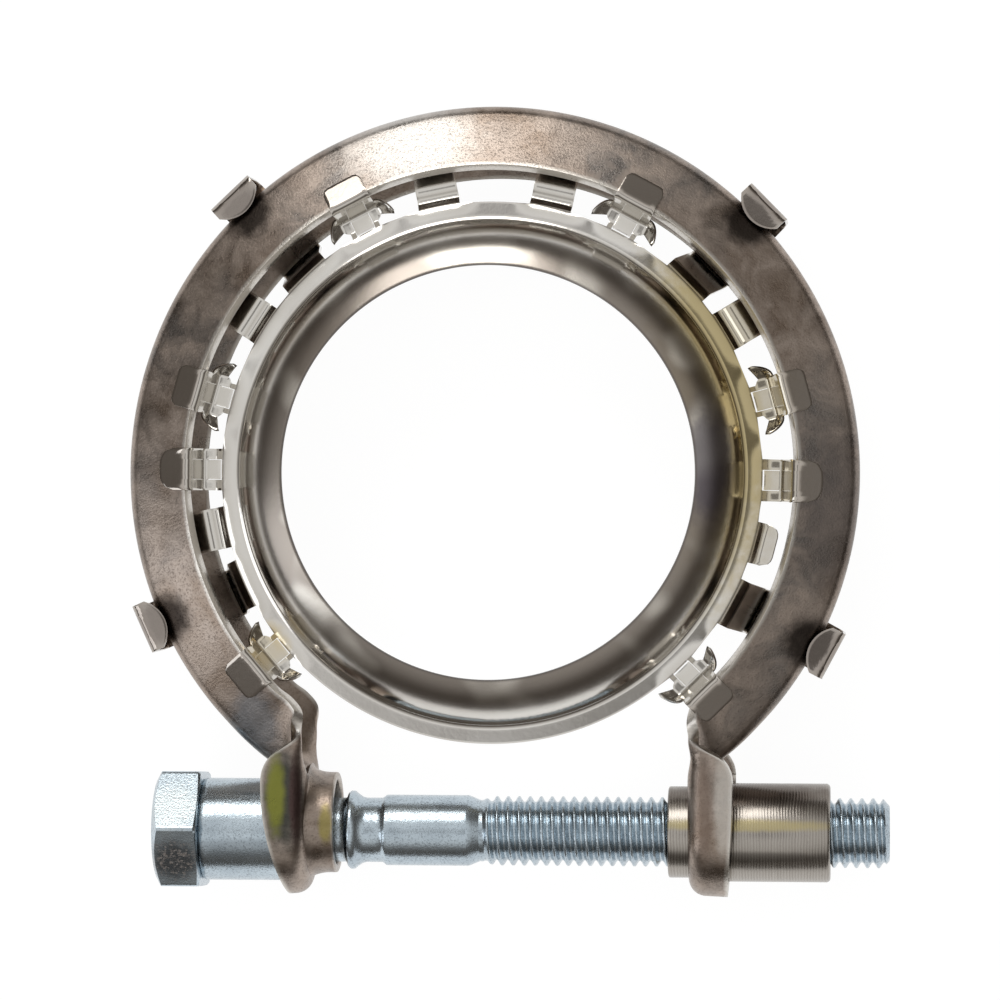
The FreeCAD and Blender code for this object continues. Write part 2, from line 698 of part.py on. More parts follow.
def seal_ring():
    """The thin pressing: a spigot and flange turned round the pipe's axis, and the tabs round its rim."""
    steep = number("(seal_bore_level - spigot_shoulder_level) / (spigot_shoulder_radius - seal_bore_radius)")
    inner = number("seal_bore_radius - ring_sheet")
    section = thicken([
        (number("ring_rim_radius"), number("flange_level")),
        (number("flange_inner_radius"), number("flange_level")),
        (number("spigot_foot_radius"), number("spigot_foot_level")),
        (number("spigot_shoulder_radius"), number("spigot_shoulder_level")),
        (inner, number("seal_bore_level") + steep * (number("seal_bore_radius") - inner)),
    ])
    shape = section.revolve(Vector(0, 0, 0), Vector(0, 0, 1), 360)
    shape = shape.cut(Part.makeCylinder(number("seal_bore_radius"), number("2 * seal_bore_level")))
    tabs = []
    for angle, extra in HORNED_CLIPS:
        tabs.append(at_angle(clip(number("clip_reach + %s * ring_sheet" % extra), True), angle))
    for angle, extra in PLAIN_CLIPS:
        tabs.append(at_angle(clip(number("clip_reach + %s * ring_sheet" % extra), False), angle))
    for angle in SHORT_TABS:
        tabs.append(at_angle(short_tab(), angle))
    tabs.append(at_angle(lone_tab(), LONE_TAB))
    for angle in LONG_ARMS:
        tabs.append(at_angle(long_arm(), angle))
    ring = document.addObject("Part::Feature", "Ring")
    ring.Shape = shape.fuse(tabs).removeSplitter()
    ring.Placement = FreeCAD.Placement()
    ring.Label = "seal_ring"
    return ring


PIECES = [clamp_band(), seal_ring(), clamp_bolt(), barrel_nut()]
document.recompute()
for item in document.Objects:
    if "Invalid" in item.State or "Error" in item.State:
        raise RuntimeError("%s could not be made: %s" % (item.Name, item.State))
for piece in PIECES:
    if piece.Shape.isNull() or not piece.Shape.isValid() or len(piece.Shape.Solids) != 1:
        raise RuntimeError("%s is not one valid solid" % piece.Label)
os.makedirs("parts", exist_ok=True)
for piece in PIECES:
    box = piece.Shape.BoundBox
    print("%-11s %8.1f mm3  x %.2f %.2f  y %.2f %.2f  z %.2f %.2f" % (
        piece.Label, piece.Shape.Volume, box.XMin, box.XMax, box.YMin, box.YMax, box.ZMin, box.ZMax))
    piece.Shape.exportStep("parts/%s.step" % piece.Label)
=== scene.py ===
import math

import bmesh
import bpy
import numpy as np
from mathutils import Matrix, Vector


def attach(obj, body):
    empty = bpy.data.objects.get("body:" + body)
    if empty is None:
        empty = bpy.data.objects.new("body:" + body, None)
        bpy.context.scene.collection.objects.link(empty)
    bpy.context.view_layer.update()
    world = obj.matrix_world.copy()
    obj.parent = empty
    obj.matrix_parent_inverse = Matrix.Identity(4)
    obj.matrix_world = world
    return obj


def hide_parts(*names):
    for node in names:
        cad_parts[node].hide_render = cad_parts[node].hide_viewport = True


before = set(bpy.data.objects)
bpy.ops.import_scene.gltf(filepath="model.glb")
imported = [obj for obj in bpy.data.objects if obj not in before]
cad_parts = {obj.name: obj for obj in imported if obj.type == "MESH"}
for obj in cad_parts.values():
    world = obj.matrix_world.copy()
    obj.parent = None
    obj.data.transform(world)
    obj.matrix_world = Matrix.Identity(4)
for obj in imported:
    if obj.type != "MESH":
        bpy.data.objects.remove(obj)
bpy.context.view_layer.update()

MM = 0.001


# The clamp band: one strip of stainless sheet rolled to a V, whose two lips pull the flanges of the pipes together.
# Both ends are pressed into dished ears with the walls turned away from the gap. The left ear's hole is drawn out
# into a collar for the bolt, the right ear's hole is plain and holds the nut.
SHEET = 1.3
GROOVE_FLOOR, GROOVE_CORNER = 39.98, 3.57
LIP_RADIUS, LIP_LEVEL = 33.91, 6.34
FLANK_SHARE, FLANK_BEND, GROOVE_BEND = 0.15, 0.3, 0.37
BOLT_AXIS = -40.6
EAR_TOP = -34.5
EAR_GROOVE, EAR_CORNER, EAR_RIM = 3.5, 7.1, 7.6
LEFT_WEB, RIGHT_WEB = -20.8, 22.05
LEFT_BEND, RIGHT_BEND, WEB_BEND = 2.18, 1.88, 1.2
LEFT_MOUTHS, RIGHT_MOUTHS = (-25.8, -23.3), (27.05, 26.4)
WALL_RADIUS, WALL_DIP_TOP, WALL_DIP_RUN, WALL_DIP = 7.4, -35.5, 12.5, 0.3
COLLAR_BORE, COLLAR_WALL, COLLAR_RISE = 4.8, 5.7, 0.85
NUT_HOLE = 5.17
FAR_FROM_EDGE = 9.0
LIP_STEPS, EAR_STEPS = 8, 10
FLAT_COLUMN = LIP_STEPS + EAR_STEPS


def polar(radius, degrees, level):
    """Points at a radius, at an angle counted from the right, at a level above the middle plane."""
    turn = np.radians(np.asarray(degrees, float))
    return np.stack([radius * np.cos(turn), radius * np.sin(turn), level + 0.0 * turn], -1)


def unit(v):
    """Each vector divided by its length."""
    return v / np.maximum(np.linalg.norm(v, axis=-1, keepdims=True), 1e-9)


def through(stations, steps):
    """A smooth curve through the stations: between each two a cubic whose slope at a station is half the
    step from the one before to the one after. The first and last stations only give the slope."""
    p0, p1, p2, p3 = stations[:-3], stations[1:-2], stations[2:-1], stations[3:]
    t = (np.arange(steps) / steps)[None, :, None]
    p0, p1, p2, p3 = (p[:, None, :] for p in (p0, p1, p2, p3))
    curve = 0.5 * (2 * p1 + (p2 - p0) * t + (2 * p0 - 5 * p1 + 4 * p2 - p3) * t ** 2
                   + (3 * p1 - p0 - 3 * p2 + p3) * t ** 3)
    return np.concatenate([curve.reshape(-1, stations.shape[1]), stations[-2:-1]])


def corner_arc(before, at, after, bend, steps):
    """An arc round a corner, from a bend's length before it to a bend's length after it: a weighted curve of the
    second degree, whose weight is the sine of half the corner's angle. The bend is at most 0.7 of the way to the
    nearer neighbour, and where the three points lie in line the arc is straight."""
    shortest = np.minimum(np.linalg.norm(before - at, axis=-1), np.linalg.norm(after - at, axis=-1))
    bend = np.minimum(bend[:, None], 0.7 * shortest)[..., None]
    to_before, to_after = unit(before - at), unit(after - at)
    first, last = at + bend * to_before, at + bend * to_after
    weight = np.sqrt(np.clip((1 - np.sum(to_before * to_after, -1, keepdims=True)) / 2, 0, 1))
    f = (np.arange(steps) / steps)[None, :, None]
    arc = (1 - f) ** 2 * first + 2 * weight * f * (1 - f) * at + f ** 2 * last
    return first, arc / ((1 - f) ** 2 + 2 * weight * f * (1 - f) + f ** 2), last


def half_rows(rows):
    """Half of the strip's section in each row: from the lip round the ear's corner and the groove's corner to the
    middle, where the section is level. A row holds these four points and the bend lengths of the two corners."""
    lip, ear, groove, middle = (rows[:, None, first:first + 3] for first in (0, 3, 6, 9))
    ear_first, ear_arc, ear_last = corner_arc(lip, ear, groove, rows[:, 12], EAR_STEPS)
    first, arc, last = corner_arc(ear, groove, middle, rows[:, 13], 8)
    rim = (np.arange(LIP_STEPS) / LIP_STEPS)[None, :, None]
    flank = (np.arange(6) / 6)[None, :, None]
    bottom = (1 - np.arange(7) / 6)[None, :, None]
    return np.concatenate([lip + (ear_first - lip) * rim, ear_arc, ear_last + (first - ear_last) * flank, arc,
                           middle + (last - middle) * np.concatenate([bottom ** 2, bottom ** 2, bottom], -1)], 1)


def grid_mesh(name, grids, faces_towards, values=None):
    """A mesh of one or more grids of points in millimetres (rows x columns x 3), a face to each cell. Points that
    meet are merged, and the skin is turned to face the way that faces_towards gives: a point and a direction."""
    points, quads, marks, start = [], [], [], 0
    for number, grid in enumerate(grids):
        rows, columns = grid.shape[:2]
        index = np.arange(rows * columns).reshape(rows, columns) + start
        quads.append(np.stack([index[:-1, :-1], index[1:, :-1], index[1:, 1:], index[:-1, 1:]], -1).reshape(-1, 4))
        points.append(grid.reshape(-1, 3))
        marks.append(np.zeros(rows * columns) if values is None else values[number].reshape(-1))
        start += rows * columns
    mesh = bpy.data.meshes.new(name)
    mesh.from_pydata((np.concatenate(points) * MM).tolist(), [], np.concatenate(quads).tolist())
    mesh.attributes.new("edge", "FLOAT", "POINT").data.foreach_set("value", np.concatenate(marks).astype(np.float32))
    bm = bmesh.new()
    bm.from_mesh(mesh)
    bmesh.ops.remove_doubles(bm, verts=bm.verts, dist=2e-6)
    bmesh.ops.dissolve_degenerate(bm, edges=bm.edges, dist=1e-7)
    bmesh.ops.recalc_face_normals(bm, faces=bm.faces)
    if faces_towards is not None:
        place, way = Vector(faces_towards[0]) * MM, Vector(faces_towards[1])
        nearest = min(bm.faces, key=lambda face: (face.calc_center_median() - place).length)
        if nearest.normal.dot(way) < 0:
            bmesh.ops.reverse_faces(bm, faces=bm.faces)
    for face in bm.faces:
        face.smooth = True
    bm.to_mesh(mesh)
    bm.free()
    return mesh


def as_object(mesh):
    """The mesh as an object at the origin."""
    made = bpy.data.objects.new(mesh.name, mesh)
    bpy.context.scene.collection.objects.link(made)
    return made


def thickened(obj, thickness, offset, edge_width, even):
    """The sheet given its thickness, with its cut edges in the next material slot and their corners eased. An even
    offset keeps the full thickness round sharp bends, and the plain one is smoother in the ears' tight turn. The
    result is a plain mesh."""
    solid = obj.modifiers.new("Sheet", "SOLIDIFY")
    solid.thickness, solid.offset = thickness * MM, offset
    solid.use_even_offset = even
    solid.material_offset_rim = 1
    ease = obj.modifiers.new("EasedEdges", "BEVEL")
    ease.width, ease.segments, ease.limit_method = edge_width * MM, 2, "ANGLE"
    ease.angle_limit = math.radians(50)
    ease.harden_normals = False
    mesh = bpy.data.meshes.new_from_object(obj.evaluated_get(bpy.context.evaluated_depsgraph_get()))
    bpy.data.objects.remove(obj)
    return mesh


def joined(name, meshes, materials):
    """The meshes as one object, with its materials, smooth but for its sharp edges."""
    bm = bmesh.new()
    for mesh in meshes:
        bm.from_mesh(mesh)
    whole = bpy.data.meshes.new(name)
    bm.to_mesh(whole)
    bm.free()
    for material in materials:
        whole.materials.append(material)
    whole.set_sharp_from_angle(angle=math.radians(42))
    return as_object(whole)


def v_rows(degrees):
    """The rows of the plain V: the ear's corner lies on the flank and doesn't bend it."""
    lip, groove = polar(LIP_RADIUS, degrees, LIP_LEVEL), polar(GROOVE_FLOOR, degrees, GROOVE_CORNER)
    ones = np.ones((len(lip), 1))
    return np.concatenate([lip, lip + FLANK_SHARE * (groove - lip), groove, polar(GROOVE_FLOOR, degrees, 0.0),
                           FLANK_BEND * ones, GROOVE_BEND * ones], 1)


def ear_rows(side, offset):
    """The rows of the strip from the V to the ear's flat, mirrored for the right ear, whose web is farther out by
    the offset. The lip swings outwards over the groove, whose corner fades into the web, while the ear's corner
    comes out of the lip."""
    lip = np.array([(-22.35, -25.25, 6.45), (-21.2, -26.7, 6.7), (-21.15, -28.3, 7.0), (-21.9, -29.85, 7.2),
                    (-23.4, -30.95, 7.35), (-24.85, -32.0, 7.45), (-25.55, -33.2, 7.55), (-25.8, EAR_TOP, 7.6),
                    (-25.8, -36.0, 7.6)])
    groove = np.array([(-26.61, -29.87, 3.57), (-25.1, -31.15, 3.57), (-23.9, -32.05, 3.55), (-22.85, -32.75, 3.5),
                       (-21.95, -33.3, 3.5), (-21.3, -33.75, 3.5), (-20.92, -34.15, 3.5), (-20.8, EAR_TOP, 3.5),
                       (-20.8, -36.0, 3.5)])
    ear = np.array([(0, 0, 0), (0, 0, 0), (-21.3, -28.8, 6.45), (-21.05, -30.0, 6.7), (-20.9, -31.1, 6.95),
                    (-20.82, -32.2, 7.05), (-20.8, -33.3, 7.1), (-20.8, EAR_TOP, 7.1), (-20.8, -36.0, 7.1)])
    ear[:2] = lip[:2] + FLANK_SHARE * (groove[:2] - lip[:2])
    bends = np.array([(FLANK_BEND, GROOVE_BEND), (FLANK_BEND, 0.5), (0.35, 1.0), (0.6, WEB_BEND), (1.5, WEB_BEND),
                      (2.1, WEB_BEND)] + 3 * [(LEFT_BEND, WEB_BEND)])
    if side > 0:
        bends[:, 0] = np.minimum(bends[:, 0], RIGHT_BEND)
    turned = np.concatenate([lip, ear, groove, groove * (1, 1, 0), bends], 1)
    stations = np.concatenate([v_rows(np.array([213.0, 219.0, 225.0])), turned])
    shares = np.array([(0.4, 0.3, 0.0), (0.8, 0.7, 0.0), (0.7, 0.8, 0.3), (0.5, 0.8, 0.6), (0.5, 1.0, 0.8),
                       (0.9, 1.0, 0.95), (1, 1, 1), (1, 1, 1), (1, 1, 1)])
    shift = through(np.concatenate([np.zeros((3, 3)), shares]), 10) * offset
    rows = through(stations, 10)
    for first, number in ((0, 0), (3, 1), (6, 2), (9, 2)):
        rows[:, first] = -side * (rows[:, first] - shift[:, number])
    return rows


def ear_wrap(web, mouths, bend):
    """The ear's wall: straight down both sides from the top line to the bolt's axis, then round the axis in half a
    circle. Its rim goes from the first mouth to the second and dips as the wall gets lower, slowly at first."""
    rounds = np.radians(np.linspace(0, 180, 41))[:, None]
    down = np.linspace(EAR_TOP, BOLT_AXIS, 9)[:-1, None]
    sides = len(down)
    heights = np.concatenate([down, BOLT_AXIS - WALL_RADIUS * np.sin(rounds), down[::-1]])
    low = np.clip((WALL_DIP_TOP - heights) / WALL_DIP_RUN, 0, 1)
    depth = low ** 2 * (1.6 - 0.6 * low)
    one = np.ones_like(depth)
    mouth = mouths[0] + (mouths[1] - mouths[0]) * depth
    section = half_rows(np.concatenate([
        mouth, 0 * one, EAR_RIM - WALL_DIP * depth, web * one, 0 * one, EAR_CORNER * one,
        web * one, 0 * one, EAR_GROOVE * one, web * one, 0 * one, 0 * one, bend * one, WEB_BEND * one], 1))
    x, radius = section[:, :FLAT_COLUMN + 1, 0], section[:, :FLAT_COLUMN + 1, 2]
    straight, turned = radius[:sides], radius[sides:-sides]
    y = np.concatenate([down + 0 * straight, BOLT_AXIS - turned * np.sin(rounds), down[::-1] + 0 * straight])
    z = np.concatenate([straight, turned * np.cos(rounds), -straight])
    return np.stack([x, y, z], -1)


def ear_web(wrap, top_row, hole, rise):
    """The flat of the ear between the wall's inner line, the strip's last row and the hole, along straight lines
    towards the hole's middle."""
    loop = np.concatenate([wrap[:, -1], top_row[::-1][1:]])
    middle = np.array([BOLT_AXIS + rise, 0.0])
    outward = unit(loop[:, 1:] - middle)
    rim = np.concatenate([loop[:, :1], middle + hole * outward], 1)
    return loop[None] + (rim - loop)[None] * np.linspace(0, 1, 4)[:, None, None]


left = ear_rows(-1, 0.0)
right = ear_rows(1, RIGHT_WEB + LEFT_WEB)[::-1]
front = half_rows(np.concatenate([right, v_rows(np.arange(-38.0, 218.5, 1.0)), left]))
back = front[:, ::-1][:, 1:] * np.array([1.0, 1.0, -1.0])
strip = np.concatenate([front, back], 1)
left_wrap = ear_wrap(LEFT_WEB, LEFT_MOUTHS, LEFT_BEND)
right_wrap = ear_wrap(RIGHT_WEB, RIGHT_MOUTHS, RIGHT_BEND)
flat = slice(FLAT_COLUMN, -FLAT_COLUMN)
grids = [strip, left_wrap, right_wrap, ear_web(left_wrap, strip[-1, flat], COLLAR_BORE, COLLAR_RISE),
         ear_web(right_wrap, strip[0, flat], NUT_HOLE, 0.0)]


def from_lip(grid):
    """How far each point is from the strip's cut edge, in millimetres along its row."""
    steps = np.linalg.norm(np.diff(grid, axis=1), axis=-1)
    return np.concatenate([np.zeros((len(grid), 1)), np.cumsum(steps, 1)], 1)


run = from_lip(strip)
marks = [np.minimum(run, run[:, -1:] - run), from_lip(left_wrap), from_lip(right_wrap),
         np.full(grids[3].shape[:2], FAR_FROM_EDGE), np.full(grids[4].shape[:2], FAR_FROM_EDGE)]
band_skin = as_object(grid_mesh("band_skin", grids, ((0.0, GROOVE_FLOOR, 0.0), (0.0, -1.0, 0.0)), marks))
band_sheet = thickened(band_skin, SHEET, offset=-1.0, edge_width=0.13, even=False)


def lathe(profile, steps, axis_y, first=0.0):
    """A profile of places along the X axis and radii, turned round the line at height axis_y."""
    turn = np.radians(first + np.linspace(0, 360, steps + 1))[:, None]
    x, radius = profile[None, :, 0] + 0 * turn, profile[None, :, 1]
    return np.stack([x, axis_y + radius * np.cos(turn), radius * np.sin(turn)], -1)


def collar():
    """The drawn collar: a bore and an outside that flares in a concave curve down to the ear. The flare's foot
    lies as deep as the ear's own bend at that distance from the middle: sideways above the bolt's axis, radial
    below it."""
    middle = BOLT_AXIS + COLLAR_RISE
    turn = np.radians(np.linspace(0, 360, 97))[:, None]
    s = np.linspace(0, 1, 13)[None, :]
    foot_radius = 6.7 + 1.1 * np.clip(-np.cos(turn), 0, 1) ** 2
    y, z = middle + foot_radius * np.cos(turn), foot_radius * np.sin(turn)
    out = np.where(y > BOLT_AXIS, np.abs(z), np.hypot(y - BOLT_AXIS, z)) - (EAR_CORNER - LEFT_BEND)
    ear_round = 2.4
    sunk = ear_round - np.sqrt(np.clip(ear_round ** 2 - np.clip(out, 0, ear_round - 0.1) ** 2, 0, None))
    foot_x = LEFT_WEB - sunk - 0.12
    root_x, end_x, flare_x = -22.1, -17.9, -18.7
    flare_r = COLLAR_WALL + (foot_radius - COLLAR_WALL) * (1 - np.sqrt(np.clip(1 - s ** 2, 0, 1)))
    one = np.ones_like(turn)
    x = np.concatenate([root_x * one, -18.15 * one, -18.0 * one, end_x * one, end_x * one, -17.95 * one, -18.1 * one,
                        flare_x + (foot_x - flare_x) * s, foot_x - 0.5, root_x * one], 1)
    r = np.concatenate([COLLAR_BORE * one, COLLAR_BORE * one, 4.84 * one, 4.98 * one, 5.5 * one, 5.64 * one,
                        COLLAR_WALL * one, flare_r, foot_radius - 0.3, COLLAR_BORE * one], 1)
    return np.stack([x, middle + r * np.cos(turn), r * np.sin(turn)], -1)


collar_grid = collar()
# The collar's bore and rounded end are marked as an edge, so the band's face brightens them: rubbed wear and a painted
# highlight.
rubbed_and_highlit_rim = np.where(np.arange(collar_grid.shape[1]) < 7, 0.35, FAR_FROM_EDGE) + np.zeros(collar_grid.shape[:2])
collar_mesh = grid_mesh("collar", [collar_grid], None, [rubbed_and_highlit_rim])


def feed(tree, socket, value):
    """A plain value put on a socket, or another node's output joined to it."""
    if isinstance(value, bpy.types.NodeSocket):
        tree.links.new(value, socket)
    else:
        socket.default_value = value


def add(tree, kind, settings=None, **inputs):
    """One shader node. Each input takes a plain value or another node's output."""
    made = tree.nodes.new("ShaderNode" + kind)
    for name, value in (settings or {}).items():
        setattr(made, name, value)
    for name, value in inputs.items():
        feed(tree, made.inputs[int(name[1:]) if name[1:].isdigit() else name.replace("_", " ")], value)
    return made


def math_of(tree, operation, a, b=0.0, c=0.0):
    """One sum of a Math node."""
    return add(tree, "Math", {"operation": operation}, i0=a, i1=b, i2=c).outputs[0]


def ranged(tree, value, low, high, to_low=0.0, to_high=1.0, soft=False):
    """A value's share of the way from low to high, kept within it and carried over to a second range."""
    settings = {"interpolation_type": "SMOOTHSTEP"} if soft else None
    return add(tree, "MapRange", settings, Value=value, From_Min=low, From_Max=high, To_Min=to_low,
               To_Max=to_high).outputs[0]


def new_group(name, inputs, outputs):
    """An empty node group with named number, vector or colour sockets."""
    group = bpy.data.node_groups.new(name, "ShaderNodeTree")
    for title, kind, value in inputs:
        socket = group.interface.new_socket(title, in_out="INPUT", socket_type="NodeSocket" + kind)
        socket.default_value = value
    for title, kind in outputs:
        group.interface.new_socket(title, in_out="OUTPUT", socket_type="NodeSocket" + kind)
    return group, group.nodes.new("NodeGroupInput"), group.nodes.new("NodeGroupOutput")


def soft_spot_group():
    """A soft-edged patch: an ellipsoid round a centre, its edge broken up by noise."""
    group, given, put = new_group("Soft spot", [("Centre", "Vector", (0, 0, 0)), ("Size", "Vector", (1, 1, 1)),
                                                ("Ragged", "Float", 0.2)], [("Mask", "Float")])
    place = add(group, "TexCoord").outputs["Object"]
    away = add(group, "VectorMath", {"operation": "SUBTRACT"}, i0=place, i1=given.outputs["Centre"]).outputs[0]
    away = add(group, "VectorMath", {"operation": "DIVIDE"}, i0=away, i1=given.outputs["Size"]).outputs[0]
    far = add(group, "VectorMath", {"operation": "LENGTH"}, i0=away).outputs["Value"]
    rough = add(group, "TexNoise", Vector=place, Scale=900.0, Detail=4.0).outputs["Fac"]
    rough = math_of(group, "MULTIPLY_ADD", math_of(group, "SUBTRACT", rough, 0.5), given.outputs["Ragged"], far)
    group.links.new(ranged(group, rough, 1.15, 0.45, soft=True), put.inputs["Mask"])
    return group


def grain_group():
    """Fine pressing grain: small noise over larger noise, as a height and as a mask of the pits."""
    group, given, put = new_group("Sheet grain", [("Scale", "Float", 3000.0), ("Pits", "Float", 0.5)],
                                  [("Height", "Float"), ("Pit", "Float"), ("Cloud", "Float")])
    place = add(group, "TexCoord").outputs["Object"]
    fine = add(group, "TexNoise", Vector=place, Scale=given.outputs["Scale"], Detail=3.0, Roughness=0.6).outputs["Fac"]
    broad = math_of(group, "MULTIPLY", given.outputs["Scale"], 0.06)
    cloud = add(group, "TexNoise", Vector=place, Scale=broad, Detail=4.0, Roughness=0.55).outputs["Fac"]
    pit = ranged(group, fine, given.outputs["Pits"], math_of(group, "ADD", given.outputs["Pits"], 0.16), soft=True)
    group.links.new(math_of(group, "MULTIPLY_ADD", cloud, 0.6, fine), put.inputs["Height"])
    group.links.new(pit, put.inputs["Pit"])
    group.links.new(cloud, put.inputs["Cloud"])
    return group


soft_spot, sheet_grain = soft_spot_group(), grain_group()


def start_metal(name):
    """A new material: its node tree and its shader, wired to the output."""
    material = bpy.data.materials.new(name)
    material.use_nodes = True
    tree = material.node_tree
    tree.nodes.clear()
    shader = add(tree, "BsdfPrincipled", Metallic=1.0)
    add(tree, "OutputMaterial", Surface=shader.outputs[0])
    return material, tree, shader


def use_group(tree, group, **inputs):
    """The group placed in a material with its own values."""
    made = tree.nodes.new("ShaderNodeGroup")
    made.node_tree = group
    for name, value in inputs.items():
        feed(tree, made.inputs[name], value)
    return made


def mixed(tree, factor, a, b):
    """Two colours mixed by a factor."""
    made = tree.nodes.new("ShaderNodeMix")
    made.data_type = "RGBA"
    feed(tree, made.inputs[0], factor)
    for socket, value in ((made.inputs[6], a), (made.inputs[7], b)):
        feed(tree, socket, (*value, 1.0) if isinstance(value, tuple) else value)
    return made.outputs[2]


def soft_patch(tree, centre, size):
    """The mask of a soft spot, its centre and size in millimetres."""
    return use_group(tree, soft_spot, Centre=[c * MM for c in centre], Size=[s * MM for s in size],
                     Ragged=0.45).outputs["Mask"]


def spots(tree, colour, places):
    """Soft spots laid over a colour, one after another: centre and size in millimetres, colour, strength."""
    for centre, size, tint, strength in places:
        colour = mixed(tree, math_of(tree, "MULTIPLY", soft_patch(tree, centre, size), strength), colour, tint)
    return colour


def finish_metal(tree, shader, colour, rough, height=None, strength=0.0, depth=0.0):
    """The colour and roughness put on the shader, and a relief by its height, strength and depth in millimetres."""
    tree.links.new(colour, shader.inputs["Base Color"])
    tree.links.new(rough, shader.inputs["Roughness"])
    if height is not None:
        relief = add(tree, "Bump", Strength=strength, Distance=depth * MM, Height=height).outputs[0]
        tree.links.new(relief, shader.inputs["Normal"])


def band_metal(name, plain, pitted, rubbed_and_highlit_colour, rub_and_highlight, grain_scale, speckle, roughness, bump, places):
    """Satin stainless sheet: fine grain, darker pits, cloudy brown and blue-grey tone, brighter near the cut edge,
    partly from rubbing and partly as a painted highlight along the lip, and soft spots at their places."""
    material, tree, shader = start_metal(name)
    grain = use_group(tree, sheet_grain, Scale=grain_scale, Pits=0.5)
    place = add(tree, "TexCoord").outputs["Object"]
    patch = add(tree, "TexNoise", Vector=place, Scale=260.0, Detail=5.0, Roughness=0.62, Distortion=0.6).outputs["Fac"]
    tone = ranged(tree, patch, 0.36, 0.66)
    hue = add(tree, "TexNoise", Vector=place, Scale=90.0, Detail=2.0).outputs["Fac"]
    hue = ranged(tree, hue, 0.42, 0.62)
    dark = mixed(tree, hue, tuple(0.62 * c * t for c, t in zip(plain, (1.06, 0.98, 0.9))),
                 tuple(0.66 * c * t for c, t in zip(plain, (0.92, 1.0, 1.08))))
    colour = mixed(tree, tone, dark, tuple(1.22 * c for c in plain))
    colour = mixed(tree, math_of(tree, "MULTIPLY", grain.outputs["Pit"], speckle), colour, pitted)
    edge = add(tree, "Attribute", {"attribute_name": "edge"}).outputs["Fac"]
    edge = math_of(tree, "MULTIPLY_ADD", math_of(tree, "SUBTRACT", patch, 0.5), 0.6, edge)
    # Brighter near the lip: partly rubbed wear, partly a painted highlight along the edge.
    colour = mixed(tree, ranged(tree, edge, 0.5, 0.1, 0.0, rub_and_highlight), colour, rubbed_and_highlit_colour)
    rough = math_of(tree, "MULTIPLY_ADD", grain.outputs["Pit"], 0.16, roughness)
    rough = math_of(tree, "MULTIPLY_ADD", math_of(tree, "SUBTRACT", patch, 0.5), 0.3, rough)
    relief = math_of(tree, "MULTIPLY_ADD", patch, 1.5, grain.outputs["Height"])
    finish_metal(tree, shader, spots(tree, colour, places), rough, relief, bump, 0.04)
    return material


LONG_ARMS = (133.2, 44.2, 204.1, -28.2)
hook_shade = [(tuple(polar(40.0, turn, 5.0)), (3.3, 3.3, 3.3), (0.018, 0.014, 0.012), 0.92) for turn in LONG_ARMS]
# Painted reflections on the left ear: a dark band and a yellow-green streak on its wall, a maroon strip at its corner,
# and a yellow patch on the collar.
left_ear_painted_reflections = [((-23.2, -36.8, 7.3), (2.7, 6.5, 3.0), (0.03, 0.035, 0.03), 0.85),
                   ((-24.1, -36.1, 7.5), (1.25, 5.0, 3.0), (0.26, 0.27, 0.05), 0.8),
                   ((-21.9, -36.5, 7.0), (0.8, 6.0, 3.0), (0.09, 0.045, 0.045), 0.6),
                   ((-18.7, -39.6, 5.5), (0.9, 2.6, 3.0), (0.30, 0.25, 0.06), 0.7)]
# Painted reflections on the right ear's wall: a dark brown streak and a light one.
right_ear_painted_reflections = [((23.9, -38.0, 7.5), (1.1, 8.0, 3.0), (0.15, 0.105, 0.08), 0.6),
                     ((26.2, -37.0, 7.6), (1.3, 7.0, 3.0), (0.6, 0.57, 0.52), 0.5)]
# Painted reflections on the band: dark brown at the right, silver-white at the top, blue-grey at the lower left.
broad_painted_reflections = [((38.0, -4.0, 4.0), (6.0, 11.0, 6.0), (0.13, 0.115, 0.11), 0.6),
               ((-9.0, 37.0, 5.0), (9.0, 6.0, 6.0), (0.66, 0.64, 0.61), 0.6),
               ((-26.6, -27.8, 5.0), (3.4, 4.8, 4.0), (0.15, 0.18, 0.21), 0.55)]
band_face = band_metal("band_satin", plain=(0.335, 0.28, 0.24), pitted=(0.11, 0.085, 0.075), rubbed_and_highlit_colour=(0.70, 0.67, 0.62),
                       rub_and_highlight=0.8, grain_scale=4200.0, speckle=0.27, roughness=0.30, bump=0.55,
                       places=hook_shade + left_ear_painted_reflections + right_ear_painted_reflections + broad_painted_reflections)
band_edge = band_metal("band_cut_edge", plain=(0.52, 0.48, 0.43), pitted=(0.10, 0.08, 0.07), rubbed_and_highlit_colour=(0.6, 0.57, 0.53),
                       rub_and_highlight=0.0, grain_scale=3200.0, speckle=0.85, roughness=0.34, bump=1.0, places=[])

band = joined("clamp_band_sheet", [band_sheet, collar_mesh], [band_face, band_edge])
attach(band, "clamp")
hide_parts("clamp_band")


# The seal ring: one thin stainless pressing, mirror polished. A flat flange carries the tabs; inside it the sheet
# rises in a cone to the bore. Clips and short tabs lie on or under the band's lip, and four long arms go round the
# back of the band and hook in over it.
RING_SHEET = 0.35
RIM = 30.4


